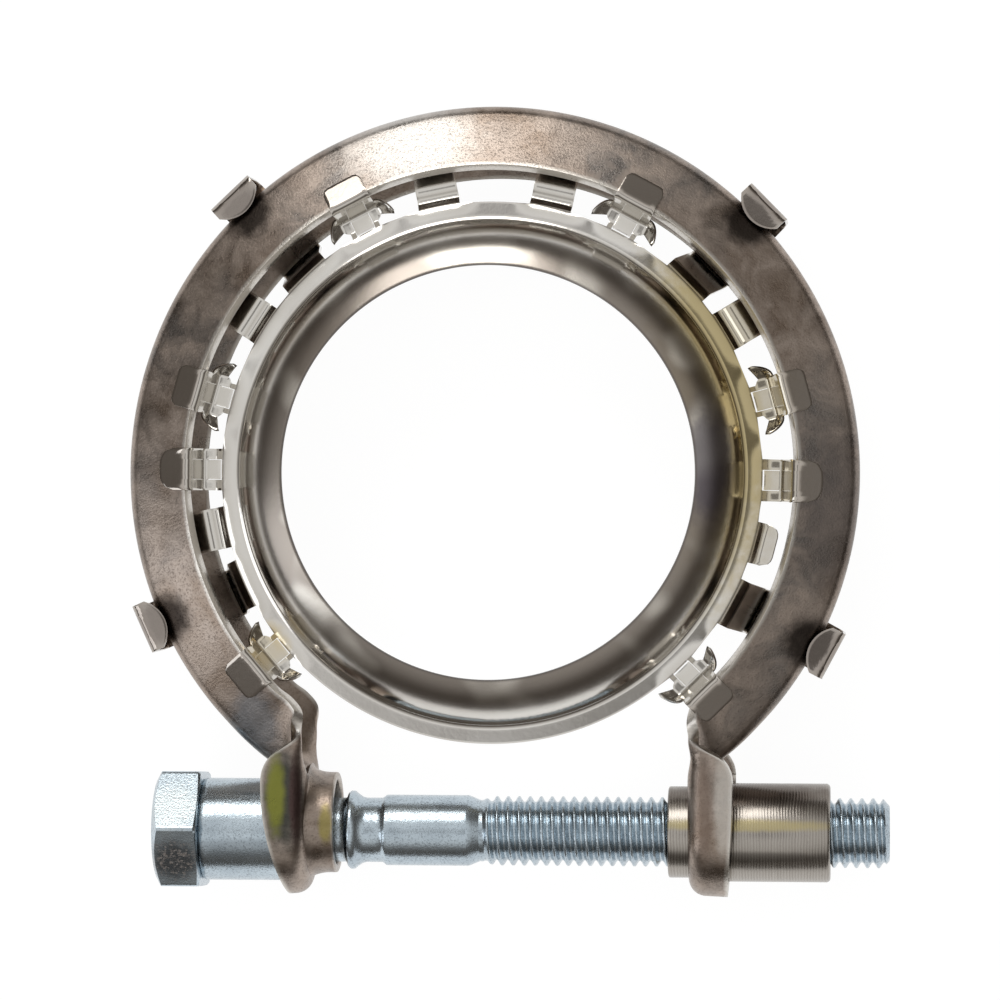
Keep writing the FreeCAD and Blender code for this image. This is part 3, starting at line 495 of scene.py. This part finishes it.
def rounded_path(corners, radii, steps=6):
    """A line through the corners in two measures, with each inner corner rounded in an arc of its radius."""
    corners = np.asarray(corners, float)
    before, at, after = corners[:-2], corners[1:-1], corners[2:]
    into, out = unit(at - before), unit(after - at)
    turn = np.arccos(np.clip(np.sum(into * out, -1), -1, 1))
    reach = np.asarray(radii, float) * np.tan(turn / 2)
    limit = 0.48 * np.minimum(np.linalg.norm(at - before, axis=-1), np.linalg.norm(after - at, axis=-1))
    reach = np.minimum(reach, limit)[:, None, None]
    a, b = at[:, None] - reach * into[:, None], at[:, None] + reach * out[:, None]
    weight = np.cos(turn / 2)[:, None, None]
    t = np.linspace(0, 1, steps + 1)[None, :, None]
    arcs = (1 - t) ** 2 * a + 2 * weight * t * (1 - t) * at[:, None] + t ** 2 * b
    arcs = arcs / ((1 - t) ** 2 + 2 * weight * t * (1 - t) + t ** 2)
    return np.concatenate([corners[:1], arcs.reshape(-1, 2), corners[-1:]])


def filled(path, step):
    """More points on a path, so that no two are farther apart than the step. The path's own points stay."""
    lengths = np.linalg.norm(np.diff(path, axis=0), axis=-1)
    counts = np.maximum(1, np.ceil(lengths / step)).astype(int)
    starts = np.repeat(np.arange(len(counts)), counts)
    local = (np.arange(counts.sum()) - np.repeat(np.cumsum(counts) - counts, counts)) / np.repeat(counts, counts)
    inner = path[starts] + (path[starts + 1] - path[starts]) * local[:, None]
    return np.concatenate([inner, path[-1:]])


FLANGE, TAB_DROP = 5.75, 0.3
CLIP_HALF, NECK_HALF, ARM_HALF = 2.35, 1.725, 2.825
CREST_RADIUS, CREST_LEVEL, FLANK_SLOPE = 34.05, 8.015, 0.5095
TONGUE_FIRST, TONGUE_PAST = 4, 9
CLIP_ACROSS = np.array([-2.35, -2.0, -1.6, -1.15, -1.09, -0.5, 0.0, 0.5, 1.09, 1.15, 1.6, 2.0, 2.35])
NECK_ACROSS = np.array([-1.725, -1.56, -1.36, -1.15, -1.09, -0.5, 0.0, 0.5, 1.09, 1.15, 1.36, 1.56, 1.725])
ARM_ACROSS = np.linspace(-ARM_HALF, ARM_HALF, 13)
CLIPS = ((117.4, 36.7), (61.5, 37.0), (14.9, 36.7), (164.2, 36.9), (219.7, 37.3), (-45.6, 36.9))
PLAIN_CLIPS = ((179.3, 37.3), (-1.6, 37.1))
SHORT_TABS = (101.0, 77.3, 147.0, 31.0, 191.5)
LONE_TAB = -14.8


def column_turns(middle, across):
    """The angles at which a tab's lines meet the ring's rim."""
    return middle + np.degrees(np.arcsin(across / RIM))


def all_columns():
    """Every angle at which the ring has a line of points: those of the tabs, and more in between."""
    tabs = [column_turns(m, NECK_ACROSS) for m, _ in CLIPS]
    tabs += [column_turns(m, CLIP_ACROSS) for m in [m for m, _ in PLAIN_CLIPS] + [*SHORT_TABS, LONE_TAB]]
    tabs += [column_turns(m, ARM_ACROSS) for m in LONG_ARMS]
    lines = np.sort(np.mod(np.concatenate(tabs), 360))
    lines = np.append(lines, lines[0] + 360)
    counts = np.maximum(1, np.ceil(np.diff(lines) / 1.5)).astype(int)
    starts = np.repeat(np.arange(len(counts)), counts)
    local = (np.arange(counts.sum()) - np.repeat(np.cumsum(counts) - counts, counts)) / np.repeat(counts, counts)
    full = lines[starts] + (lines[starts + 1] - lines[starts]) * local
    return np.append(full, full[0] + 360)


def ring_wall():
    """The ring: its profile turned round the pipe's axis. The flange is flat between the tabs and dips towards
    its rim where one leaves it."""
    wall = np.array([(28.9, 5.3), (28.35, 5.82), (27.1, 7.4), (25.3, 9.0), (23.1, 10.0), (21.0, 10.6)])
    curve = through(wall, 8)
    flat = rounded_path([(RIM, FLANGE), (28.75, FLANGE), (28.35, 5.9)], [0.8], 5)
    profile = np.concatenate([filled(flat, 0.25)[:-1], curve[1:]])
    degrees = all_columns()[:, None]
    starts = [(m, NECK_HALF) for m, _ in CLIPS] + [(m, CLIP_HALF) for m, _ in PLAIN_CLIPS]
    starts += [(m, CLIP_HALF) for m in (*SHORT_TABS, LONE_TAB)] + [(m, ARM_HALF) for m in LONG_ARMS]
    near = np.zeros_like(degrees)
    for middle, half in starts:
        aside = RIM * np.radians(np.abs(np.mod(degrees - middle + 180, 360) - 180))
        share = np.clip((half + 1.5 - aside) / 1.35, 0, 1)
        near = np.maximum(near, share * share * (3 - 2 * share))
    fall = np.clip((profile[:, 0] - 28.9) / (RIM - 28.9), 0, 1) ** 2
    turn = np.radians(degrees)
    return np.stack([profile[:, 0] * np.cos(turn), profile[:, 0] * np.sin(turn),
                     profile[:, 1] - TAB_DROP * near * fall], -1)


def on_ring(middle, across, out, level):
    """Points by their distance across a tab's middle line, their distance out along it, and their level."""
    turn = math.radians(middle)
    x = out * math.cos(turn) - across * math.sin(turn)
    y = out * math.sin(turn) + across * math.cos(turn)
    return np.stack(np.broadcast_arrays(x, y, level), -1)


def tab_grid(middle, across, path, shortfall=0.0, neck=None):
    """A tab: lines side by side along its path, from the ring's rim, where they meet it on its circle, outwards.
    The shortfall is how far each line stops before the path's end, and the neck how the lines lie at the rim
    where the tab is narrower there."""
    total = np.concatenate([[0], np.cumsum(np.linalg.norm(np.diff(path, axis=0), axis=-1))])
    spot = total[:, None] * (1 - (shortfall + 0 * across)[None, :] / total[-1])
    out, level = np.interp(spot, total, path[:, 0]), np.interp(spot, total, path[:, 1])
    widened = np.clip((out - 31.15) / 0.3, 0, 1)
    across = across + 0 * spot if neck is None else neck + (across - neck) * widened
    out = out + (np.sqrt(RIM ** 2 - across ** 2) - RIM) * np.clip(1 - spot / 1.0, 0, 1)
    return on_ring(middle, across, out, level)


def round_end(across, radius):
    """How far lines fall short at an end whose corners are rounded."""
    half = np.abs(across).max()
    over = np.clip(np.abs(across) - (half - radius), 0, radius)
    return radius - np.sqrt(np.clip(radius ** 2 - over ** 2, 0, None))


def clip_path(reach):
    """A clip, seen from the side: down from the rim, along, up over the band's lip and down its flank."""
    line = [(RIM, FLANGE - TAB_DROP), (31.05, 4.95), (32.75, 4.95), (33.35, 6.5), (CREST_RADIUS, CREST_LEVEL),
            (reach, CREST_LEVEL - (reach - CREST_RADIUS) * FLANK_SLOPE)]
    return filled(rounded_path(line, [1.2, 0.6, 0.5, 0.5]), 0.3)


def lanced(whole, path, turn):
    """A clip's grid with a tongue cut free on three sides in its floor and pushed up at its inner end."""
    root_row = int(np.searchsorted(path[:, 0], 32.25))
    inward = np.array([-math.cos(math.radians(turn)), -math.sin(math.radians(turn)), 0.0])
    along = np.linspace(0, 1.72, 7)[:, None, None]
    root = whole[root_row, TONGUE_FIRST:TONGUE_PAST][None]
    tongue = root + inward * along + np.array([0, 0, 1.0]) * 0.2 * along
    return [whole[:root_row + 1, :TONGUE_FIRST], whole[:root_row + 1, TONGUE_PAST:], whole[root_row:], tongue]


def horn(whole, path, turn, side):
    """A leaf from the side of a clip's floor, curled up and inwards to a point: its two edges are curves from the
    ends of the root to the tip, and it is ruled between them."""
    first, end = int(np.searchsorted(path[:, 0], 31.45)), int(np.searchsorted(path[:, 0], 33.3))
    edge = whole[first:end + 1, 0 if side < 0 else -1]
    q = np.linspace(0, 1, len(edge))[:, None]
    f = np.linspace(0, 1, 9)[None, :, None]
    knee = on_ring(turn, side * (2.85 + 0.5 * q), 31.45 + 1.75 * q, 5.15 + 0.5 * q)[:, 0][:, None]
    tip = on_ring(turn, side * (3.7 + 0.2 * q), 30.85 + 0.4 * q, 6.3 - 0.1 * q)[:, 0][:, None]
    return (1 - f) ** 2 * edge[:, None] + 2 * f * (1 - f) * knee + f ** 2 * tip


ring_grids = [ring_wall()]
for turn, reach in CLIPS:
    path = clip_path(reach)
    whole = tab_grid(turn, CLIP_ACROSS, path, round_end(CLIP_ACROSS, 0.8), NECK_ACROSS)
    ring_grids += lanced(whole, path, turn) + [horn(whole, path, turn, -1), horn(whole, path, turn, 1)]
for turn, reach in PLAIN_CLIPS:
    path = clip_path(reach)
    ring_grids += lanced(tab_grid(turn, CLIP_ACROSS, path, round_end(CLIP_ACROSS, 1.8)), path, turn)
short_path = filled(rounded_path([(RIM, FLANGE - TAB_DROP), (31.3, 4.6), (32.4, 5.15), (34.2, 4.6), (36.2, 3.9)],
                                 [1.1, 1.2, 1.5]), 0.3)
for turn in SHORT_TABS:
    ring_grids.append(tab_grid(turn, CLIP_ACROSS, short_path))
lone_path = filled(rounded_path([(RIM, FLANGE - TAB_DROP), (31.3, 4.7), (32.9, 5.1)], [1.0]), 0.3)
ring_grids.append(tab_grid(LONE_TAB, CLIP_ACROSS, lone_path, round_end(CLIP_ACROSS, 1.2)))
arm_line = [(RIM, FLANGE - TAB_DROP), (31.4, 4.6), (33.35, -6.6), (CREST_RADIUS, -CREST_LEVEL), (41.0, -4.476),
            (43.0, -3.6), (43.35, -2.5), (43.35, 4.6), (42.9, 5.25), (40.5, 5.25)]
arm_path = filled(rounded_path(arm_line, [0.8, 0.8, 0.5, 1.0, 0.6, 0.6, 0.5, 0.4]), 0.4)
HOOK_RADIUS = 3.55
bulge = HOOK_RADIUS - np.sqrt(HOOK_RADIUS ** 2 - ARM_ACROSS ** 2)
for turn in LONG_ARMS:
    ring_grids.append(tab_grid(turn, ARM_ACROSS, arm_path, bulge))
ring_skin = as_object(grid_mesh("ring_skin", ring_grids, ((0.0, 29.5, 5.75), (0.0, 0.0, 1.0))))
ring_sheet = thickened(ring_skin, RING_SHEET, offset=0.0, edge_width=0.05, even=True)

ring_face, tree, shader = start_metal("ring_polished")
grain = use_group(tree, sheet_grain, Scale=1800.0, Pits=0.66)
colour = mixed(tree, grain.outputs["Cloud"], (0.52, 0.49, 0.45), (0.78, 0.76, 0.72))
colour = mixed(tree, math_of(tree, "MULTIPLY", grain.outputs["Pit"], 0.15), colour, (0.35, 0.33, 0.30))
place = add(tree, "TexCoord").outputs["Object"]
flat_place = add(tree, "VectorMath", {"operation": "MULTIPLY"}, i0=place, i1=(1.0, 1.0, 0.0)).outputs[0]
from_axis = add(tree, "VectorMath", {"operation": "LENGTH"}, i0=flat_place).outputs["Value"]
blobs = add(tree, "TexNoise", Vector=place, Scale=150.0, Detail=1.0).outputs["Fac"]
inner_tint = mixed(tree, ranged(tree, blobs, 0.46, 0.66, soft=True), (0.25, 0.215, 0.185), (0.66, 0.62, 0.56))
inside = ranged(tree, from_axis, 27.4 * MM, 25.2 * MM, soft=True)
bore_line = ranged(tree, from_axis, 23.45 * MM, 23.1 * MM)
# Olive, gold and brown patches laid over the ring's colour.
ring_colour_patches = [((25.5, 9.0, 6.5), (11.0, 26.0, 8.0), (0.42, 0.335, 0.15), 0.85),
         ((-25.5, -19.5, 5.0), (3.0, 3.0, 4.0), (0.62, 0.47, 0.17), 0.6),
         ((-19.0, 14.0, 9.0), (6.0, 8.0, 4.0), (0.30, 0.25, 0.20), 0.5)]
colour = spots(tree, colour, ring_colour_patches)
colour = mixed(tree, math_of(tree, "MULTIPLY", inside, 0.85), colour, inner_tint)
# A painted reflection: a dark blue-grey patch on the right of the cone.
colour = spots(tree, colour, [((24.5, 1.0, 9.0), (3.6, 8.0, 5.0), (0.085, 0.08, 0.125), 0.65)])
colour = mixed(tree, bore_line, colour, (0.10, 0.085, 0.075))
outside = ranged(tree, from_axis, 30.3 * MM, 31.6 * MM)
colour = mixed(tree, math_of(tree, "MULTIPLY", outside, 0.6), colour, (0.60, 0.575, 0.53))
flaps = ranged(tree, from_axis, 33.8 * MM, 34.5 * MM, 0.0, 0.65)
colour = mixed(tree, flaps, colour, (0.36, 0.31, 0.27))
# Painted shade: the hooks' curls darker than the rest of the polished ring.
hook_painted_shade = [(tuple(polar(42.0, turn, 5.2)), (3.2, 3.2, 2.0), (0.27, 0.235, 0.21), 0.8) for turn in LONG_ARMS]
colour = spots(tree, colour, hook_painted_shade)
shine = ranged(tree, grain.outputs["Cloud"], 0.0, 1.0, 0.09, 0.17)
finish_metal(tree, shader, colour, math_of(tree, "MULTIPLY_ADD", inside, 0.12, shine), grain.outputs["Height"], 0.15,
             0.03)
ring_edge, tree, shader = start_metal("ring_cut_edge")
grain = use_group(tree, sheet_grain, Scale=6000.0, Pits=0.5)
colour = mixed(tree, grain.outputs["Pit"], (0.42, 0.40, 0.37), (0.2, 0.18, 0.16))
finish_metal(tree, shader, colour, ranged(tree, grain.outputs["Cloud"], 0.0, 1.0, 0.3, 0.5))

ring = joined("seal_ring_sheet", [ring_sheet], [ring_face, ring_edge])
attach(ring, "clamp")
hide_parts("seal_ring")


# The bolt: cold-formed steel, zinc plated. From the left: hexagon head, thick shoulder with a hammered look, neck with
# a rolled bead that holds it in the collar, plain shank, and a rolled M8 thread up to the chamfered tip.
HEAD_END, HEAD_FOOT = -38.55, -33.25
HALF_FLATS, HALF_CORNERS, HEAD_TURN = 6.5, 7.42, 4.2
HEAD_FACE, CROWN_DEGREES = 5.9, 27
THREAD_START, THREAD_END, PITCH = -1.6, 44.6, 1.25
THREAD_CREST, RUN_IN_RADIUS, RUN_IN, CHAMFER, CHAMFER_DEPTH = 3.93, 3.45, 1.6, 0.75, 0.85


def hex_head():
    """The head: for each angle the profile runs from the middle of the end to the crown's cone, along the cone to
    where it meets the hexagon, along the flat, and in to the shoulder. The hexagon's radius is half the width
    over flats divided by the cosine of the angle from the flat's middle, with its corners rounded off."""
    degrees = np.linspace(0, 360, 361)
    local = np.radians(np.mod(degrees - 90 + HEAD_TURN, 60) - 30)
    hexagon = np.minimum(HALF_FLATS / np.cos(local), HALF_CORNERS)[:, None]
    cone = HEAD_END + (hexagon - HEAD_FACE) * math.tan(math.radians(CROWN_DEGREES))
    low = HEAD_FOOT - 0.25 - (hexagon - HALF_FLATS) * 0.2
    s = np.linspace(0, 1, 7)[None, :]
    zero = 0 * hexagon
    x = np.concatenate([HEAD_END + inset + zero for inset in (0.35, 0.33, 0.12, 0.0, 0.04)]
                       + [HEAD_END + 0.1 + (cone - HEAD_END) * s, cone + 0.15 + (low - cone) * s,
                          HEAD_FOOT + zero, HEAD_FOOT + zero], 1)
    r = np.concatenate([radius + zero for radius in (0.0, 3.4, 4.4, 5.2, 5.7)]
                       + [HEAD_FACE + (hexagon - 0.05 - HEAD_FACE) * s, hexagon + 0 * s,
                          hexagon - 0.3, 5.0 + zero], 1)
    turn = np.radians(degrees)[:, None]
    return np.stack([x, BOLT_AXIS + r * np.cos(turn), r * np.sin(turn)], -1)


def shoulder_to_shank():
    """The turned part between head and thread, as one profile."""
    corners = np.array([(-33.4, 5.0), (-33.22, 5.62), (-32.95, 5.8), (-23.9, 5.8), (-23.7, 5.72), (-22.35, 4.9),
                        (-22.2, 4.7), (-22.2, 3.8), (-22.05, 3.65), (-16.95, 3.65), (-16.72, 3.85), (-16.62, 4.25),
                        (-16.35, 4.45), (-15.95, 4.43), (-15.55, 4.1), (-15.1, 3.78), (-14.6, 3.65), (-12.8, 3.65),
                        (-12.55, 3.8), (-12.35, 3.97), (-12.2, 4.0), (-3.1, 4.0), (-2.9, 3.98), (-1.5, 3.4),
                        (-1.4, 3.0)])
    return lathe(filled(corners, 0.6), 96, BOLT_AXIS)


def thread():
    """The thread: lines of points that climb one pitch to a turn. Across one pitch the radius goes from the root
    up a flank to the crest and down again. The run-in and the tip's chamfer limit the radius."""
    share = np.array([0.0, 0.06, 0.12, 0.2, 0.3, 0.38, 0.43, 0.5, 0.57, 0.62, 0.7, 0.8, 0.88, 0.94])
    radii = np.array([3.3, 3.3, 3.36, 3.5, 3.7, 3.86, 3.92, 3.93, 3.92, 3.86, 3.7, 3.5, 3.36, 3.3])
    pitches = np.arange(-1, int((THREAD_END - THREAD_START) / PITCH) + 2)
    along = (pitches[:, None] + share[None, :]).reshape(-1)
    turn = np.linspace(0, 1, 73)[:, None]
    x = THREAD_START + PITCH * (along[None, :] + turn)
    r = np.tile(radii, len(pitches))[None, :] + 0 * turn
    r = RUN_IN_RADIUS + (r - RUN_IN_RADIUS) * np.clip((x - THREAD_START) / RUN_IN, 0, 1)
    r = np.minimum(r, THREAD_CREST - np.clip((x - (THREAD_END - CHAMFER)) / CHAMFER, 0, 1) * CHAMFER_DEPTH)
    x = np.clip(x, THREAD_START, THREAD_END)
    spin = 2 * math.pi * turn
    return np.stack([x, BOLT_AXIS + r * np.cos(spin), r * np.sin(spin)], -1)


def end_cap(x, radius, steps):
    """A flat round end with a faint dimple."""
    turn = np.radians(np.linspace(0, 360, steps + 1))[:, None]
    r = radius * np.linspace(1, 0, 6)[None, :]
    return np.stack([x + 0 * turn - 0.12 * (1 - (r / radius) ** 2), BOLT_AXIS + r * np.cos(turn),
                     r * np.sin(turn)], -1)


bolt_parts = [grid_mesh("head", [hex_head()], None), grid_mesh("shoulder", [shoulder_to_shank()], None),
              grid_mesh("thread", [thread(), end_cap(THREAD_END, THREAD_CREST - CHAMFER_DEPTH, 72)],
                        ((20.0, BOLT_AXIS, 3.9), (0, 0, 1)))]

bolt_zinc, tree, shader = start_metal("bolt_zinc")
grain = use_group(tree, sheet_grain, Scale=4600.0, Pits=0.5)
colour = mixed(tree, grain.outputs["Cloud"], (0.33, 0.39, 0.44), (0.62, 0.71, 0.77))
colour = mixed(tree, math_of(tree, "MULTIPLY", grain.outputs["Pit"], 0.45), colour, (0.13, 0.15, 0.17))
# Painted light on the head and shoulder: a painted highlight on the head's upper flat, painted shade on its lower
# flat, and a dark painted reflection along the shoulder's lower side.
painted_shade_flat = (-35.8, -43.6, 5.4), (3.2, 3.0, 3.0)
colour = spots(tree, colour, [((-36.0, -37.4, 6.3), (3.6, 3.6, 3.0), (0.54, 0.60, 0.62), 0.9),
                              (*painted_shade_flat, (0.045, 0.04, 0.04), 0.75),
                              ((-28.0, -42.3, 5.6), (6.5, 1.3, 3.0), (0.14, 0.16, 0.18), 0.5)])
place = add(tree, "TexCoord").outputs["Object"]
specks = add(tree, "TexNoise", Vector=place, Scale=2400.0, Detail=3.0, Roughness=0.7).outputs["Fac"]
specks = math_of(tree, "MULTIPLY", soft_patch(tree, *painted_shade_flat), ranged(tree, specks, 0.52, 0.6))
colour = mixed(tree, math_of(tree, "MULTIPLY", specks, 0.8), colour, (0.62, 0.58, 0.56))
finish_metal(tree, shader, colour, ranged(tree, grain.outputs["Pit"], 0.0, 1.0, 0.2, 0.36), grain.outputs["Height"],
             0.5, 0.04)
bolt = joined("captive_bolt", bolt_parts, [bolt_zinc])
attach(bolt, "bolt")
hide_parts("clamp_bolt")


# The barrel nut: turned from round steel bar. Its spigot is staked into the right ear's hole, and its longer barrel
# stands outside. The tool has left fine rings round it.
nut_profile = np.array([(19.75, 3.98), (19.75, 4.5), (19.75, 4.95), (19.83, 5.1), (19.98, 5.15), (23.37, 5.15),
                        (23.37, 5.3), (23.45, 5.45), (23.62, 5.55), (37.6, 5.55), (37.85, 5.4), (37.97, 5.15),
                        (37.97, 4.5), (37.5, 3.98), (19.75, 3.98)])
nut_mesh = grid_mesh("nut", [lathe(nut_profile, 96, BOLT_AXIS)], None)
nut_steel, tree, shader = start_metal("nut_steel")
place = add(tree, "TexCoord").outputs["Object"]
stretch = add(tree, "Mapping", Vector=place, Scale=(9000.0, 120.0, 120.0)).outputs[0]
lines = add(tree, "TexNoise", Vector=stretch, Scale=1.0, Detail=2.0).outputs["Fac"]
grain = use_group(tree, sheet_grain, Scale=3200.0, Pits=0.6)
rings = add(tree, "TexWave", {"wave_type": "BANDS", "bands_direction": "X"}, Vector=place, Scale=950.0,
            Distortion=1.5, Detail=2.0, Detail_Scale=1.0).outputs["Fac"]
lines = math_of(tree, "MULTIPLY_ADD", math_of(tree, "SUBTRACT", lines, rings), 0.55, rings)
colour = mixed(tree, lines, (0.24, 0.215, 0.19), (0.48, 0.45, 0.41))
# Painted reflections along the barrel: a dark stripe at its upper side, a gold stripe, and a dark stripe below.
colour = spots(tree, colour, [((28.5, -35.9, 3.5), (14.0, 1.9, 6.0), (0.07, 0.05, 0.04), 0.7),
                              ((28.0, -39.4, 5.5), (13.0, 0.8, 4.0), (0.50, 0.41, 0.15), 0.55),
                              ((28.0, -43.0, 5.0), (13.0, 0.8, 4.0), (0.08, 0.07, 0.06), 0.5)])
colour = mixed(tree, math_of(tree, "MULTIPLY", grain.outputs["Pit"], 0.3), colour, (0.2, 0.18, 0.16))
finish_metal(tree, shader, colour, ranged(tree, lines, 0.0, 1.0, 0.2, 0.36), lines, 0.5, 0.03)
nut = joined("turned_nut", [nut_mesh], [nut_steel])
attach(nut, "clamp")
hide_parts("barrel_nut")


# The studio: a white table that keeps a soft shadow, a large soft lamp from the upper left, a smaller one from the
# right, and a room that is light overhead and darker towards the horizon, which is what the metal mirrors.
floor_mesh = bpy.data.meshes.new("table")
FLOOR = -8.31 * MM
floor_mesh.from_pydata([(-3, -3, FLOOR), (3, -3, FLOOR), (3, 3, FLOOR), (-3, 3, FLOOR)], [], [(0, 1, 2, 3)])
table = as_object(floor_mesh)
white = bpy.data.materials.new("table_white")
white.use_nodes = True
tree = white.node_tree
tree.nodes.clear()
matt = add(tree, "BsdfDiffuse", Color=(0.93, 0.93, 0.93, 1.0)).outputs[0]
TABLE_GLOW, GLOW_SHARE = 1.06, 0.90
glow = add(tree, "Emission", Color=(1, 1, 1, 1), Strength=TABLE_GLOW).outputs[0]
light_path = add(tree, "LightPath")
seen = math_of(tree, "MAXIMUM", light_path.outputs["Is Camera Ray"], light_path.outputs["Is Glossy Ray"])
seen = math_of(tree, "MAXIMUM", seen, light_path.outputs["Is Transmission Ray"])
both = add(tree, "MixShader", Fac=math_of(tree, "MULTIPLY", seen, GLOW_SHARE), i1=matt, i2=glow).outputs[0]
add(tree, "OutputMaterial", Surface=both)
floor_mesh.materials.append(white)


def soft_lamp(name, place, aim, width, height, watts, colour):
    """A flat soft lamp that faces its aim."""
    lamp = bpy.data.lights.new(name, "AREA")
    lamp.shape, lamp.size, lamp.size_y, lamp.energy, lamp.color = "RECTANGLE", width, height, watts, colour
    obj = bpy.data.objects.new(name, lamp)
    bpy.context.scene.collection.objects.link(obj)
    way = (Vector(aim) - Vector(place)).to_track_quat("-Z", "Y")
    obj.matrix_world = Matrix.LocRotScale(Vector(place), way, None)


soft_lamp("key", (-0.16, 0.60, 0.52), (0, 0, 0), 0.5, 0.35, 2.0, (1.0, 0.985, 0.96))
soft_lamp("side", (-0.62, -0.22, 0.40), (0, 0, 0), 0.3, 0.5, 0.8, (0.93, 0.96, 1.0))

world = bpy.data.worlds.new("studio")
bpy.context.scene.world = world
world.use_nodes = True
tree = world.node_tree
tree.nodes.clear()
way = add(tree, "TexCoord").outputs["Generated"]
height = add(tree, "SeparateXYZ", Vector=way).outputs["Z"]
room = add(tree, "ValToRGB", Fac=height)
shades = [(0.0, (0.10, 0.088, 0.078)), (0.42, (0.16, 0.145, 0.13)), (0.60, (0.30, 0.285, 0.27)),
          (0.78, (0.88, 0.87, 0.85)), (0.975, (1.0, 1.0, 1.0)), (0.991, (0.80, 0.80, 0.80)),
          (0.9975, (0.22, 0.21, 0.20))]
room.color_ramp.elements.remove(room.color_ramp.elements[1])
for number, (place, shade) in enumerate(shades):
    stop = room.color_ramp.elements[0] if number == 0 else room.color_ramp.elements.new(place)
    stop.position, stop.color = place, (*shade, 1.0)
sky = add(tree, "Background", Color=room.outputs["Color"], Strength=0.9).outputs[0]
add(tree, "OutputWorld", Surface=sky)

camera_data = bpy.data.cameras.new("camera")
camera_data.sensor_width, camera_data.lens = 36.0, 143.2
camera_data.clip_start, camera_data.clip_end = 0.05, 20.0
camera = bpy.data.objects.new("camera", camera_data)
bpy.context.scene.collection.objects.link(camera)
eye, aim = Vector((39.3, -3.06, 450.0)) * MM, Vector((0.57, -3.06, 0.0)) * MM
ahead = (aim - eye).normalized()
right_way = ahead.cross(Vector((0, 1, 0))).normalized()
up = right_way.cross(ahead)
camera.matrix_world = Matrix((right_way, up, -ahead)).transposed().to_4x4()
camera.matrix_world.translation = eye
bpy.context.scene.camera = camera
bpy.context.scene.view_settings.view_transform = "Standard"
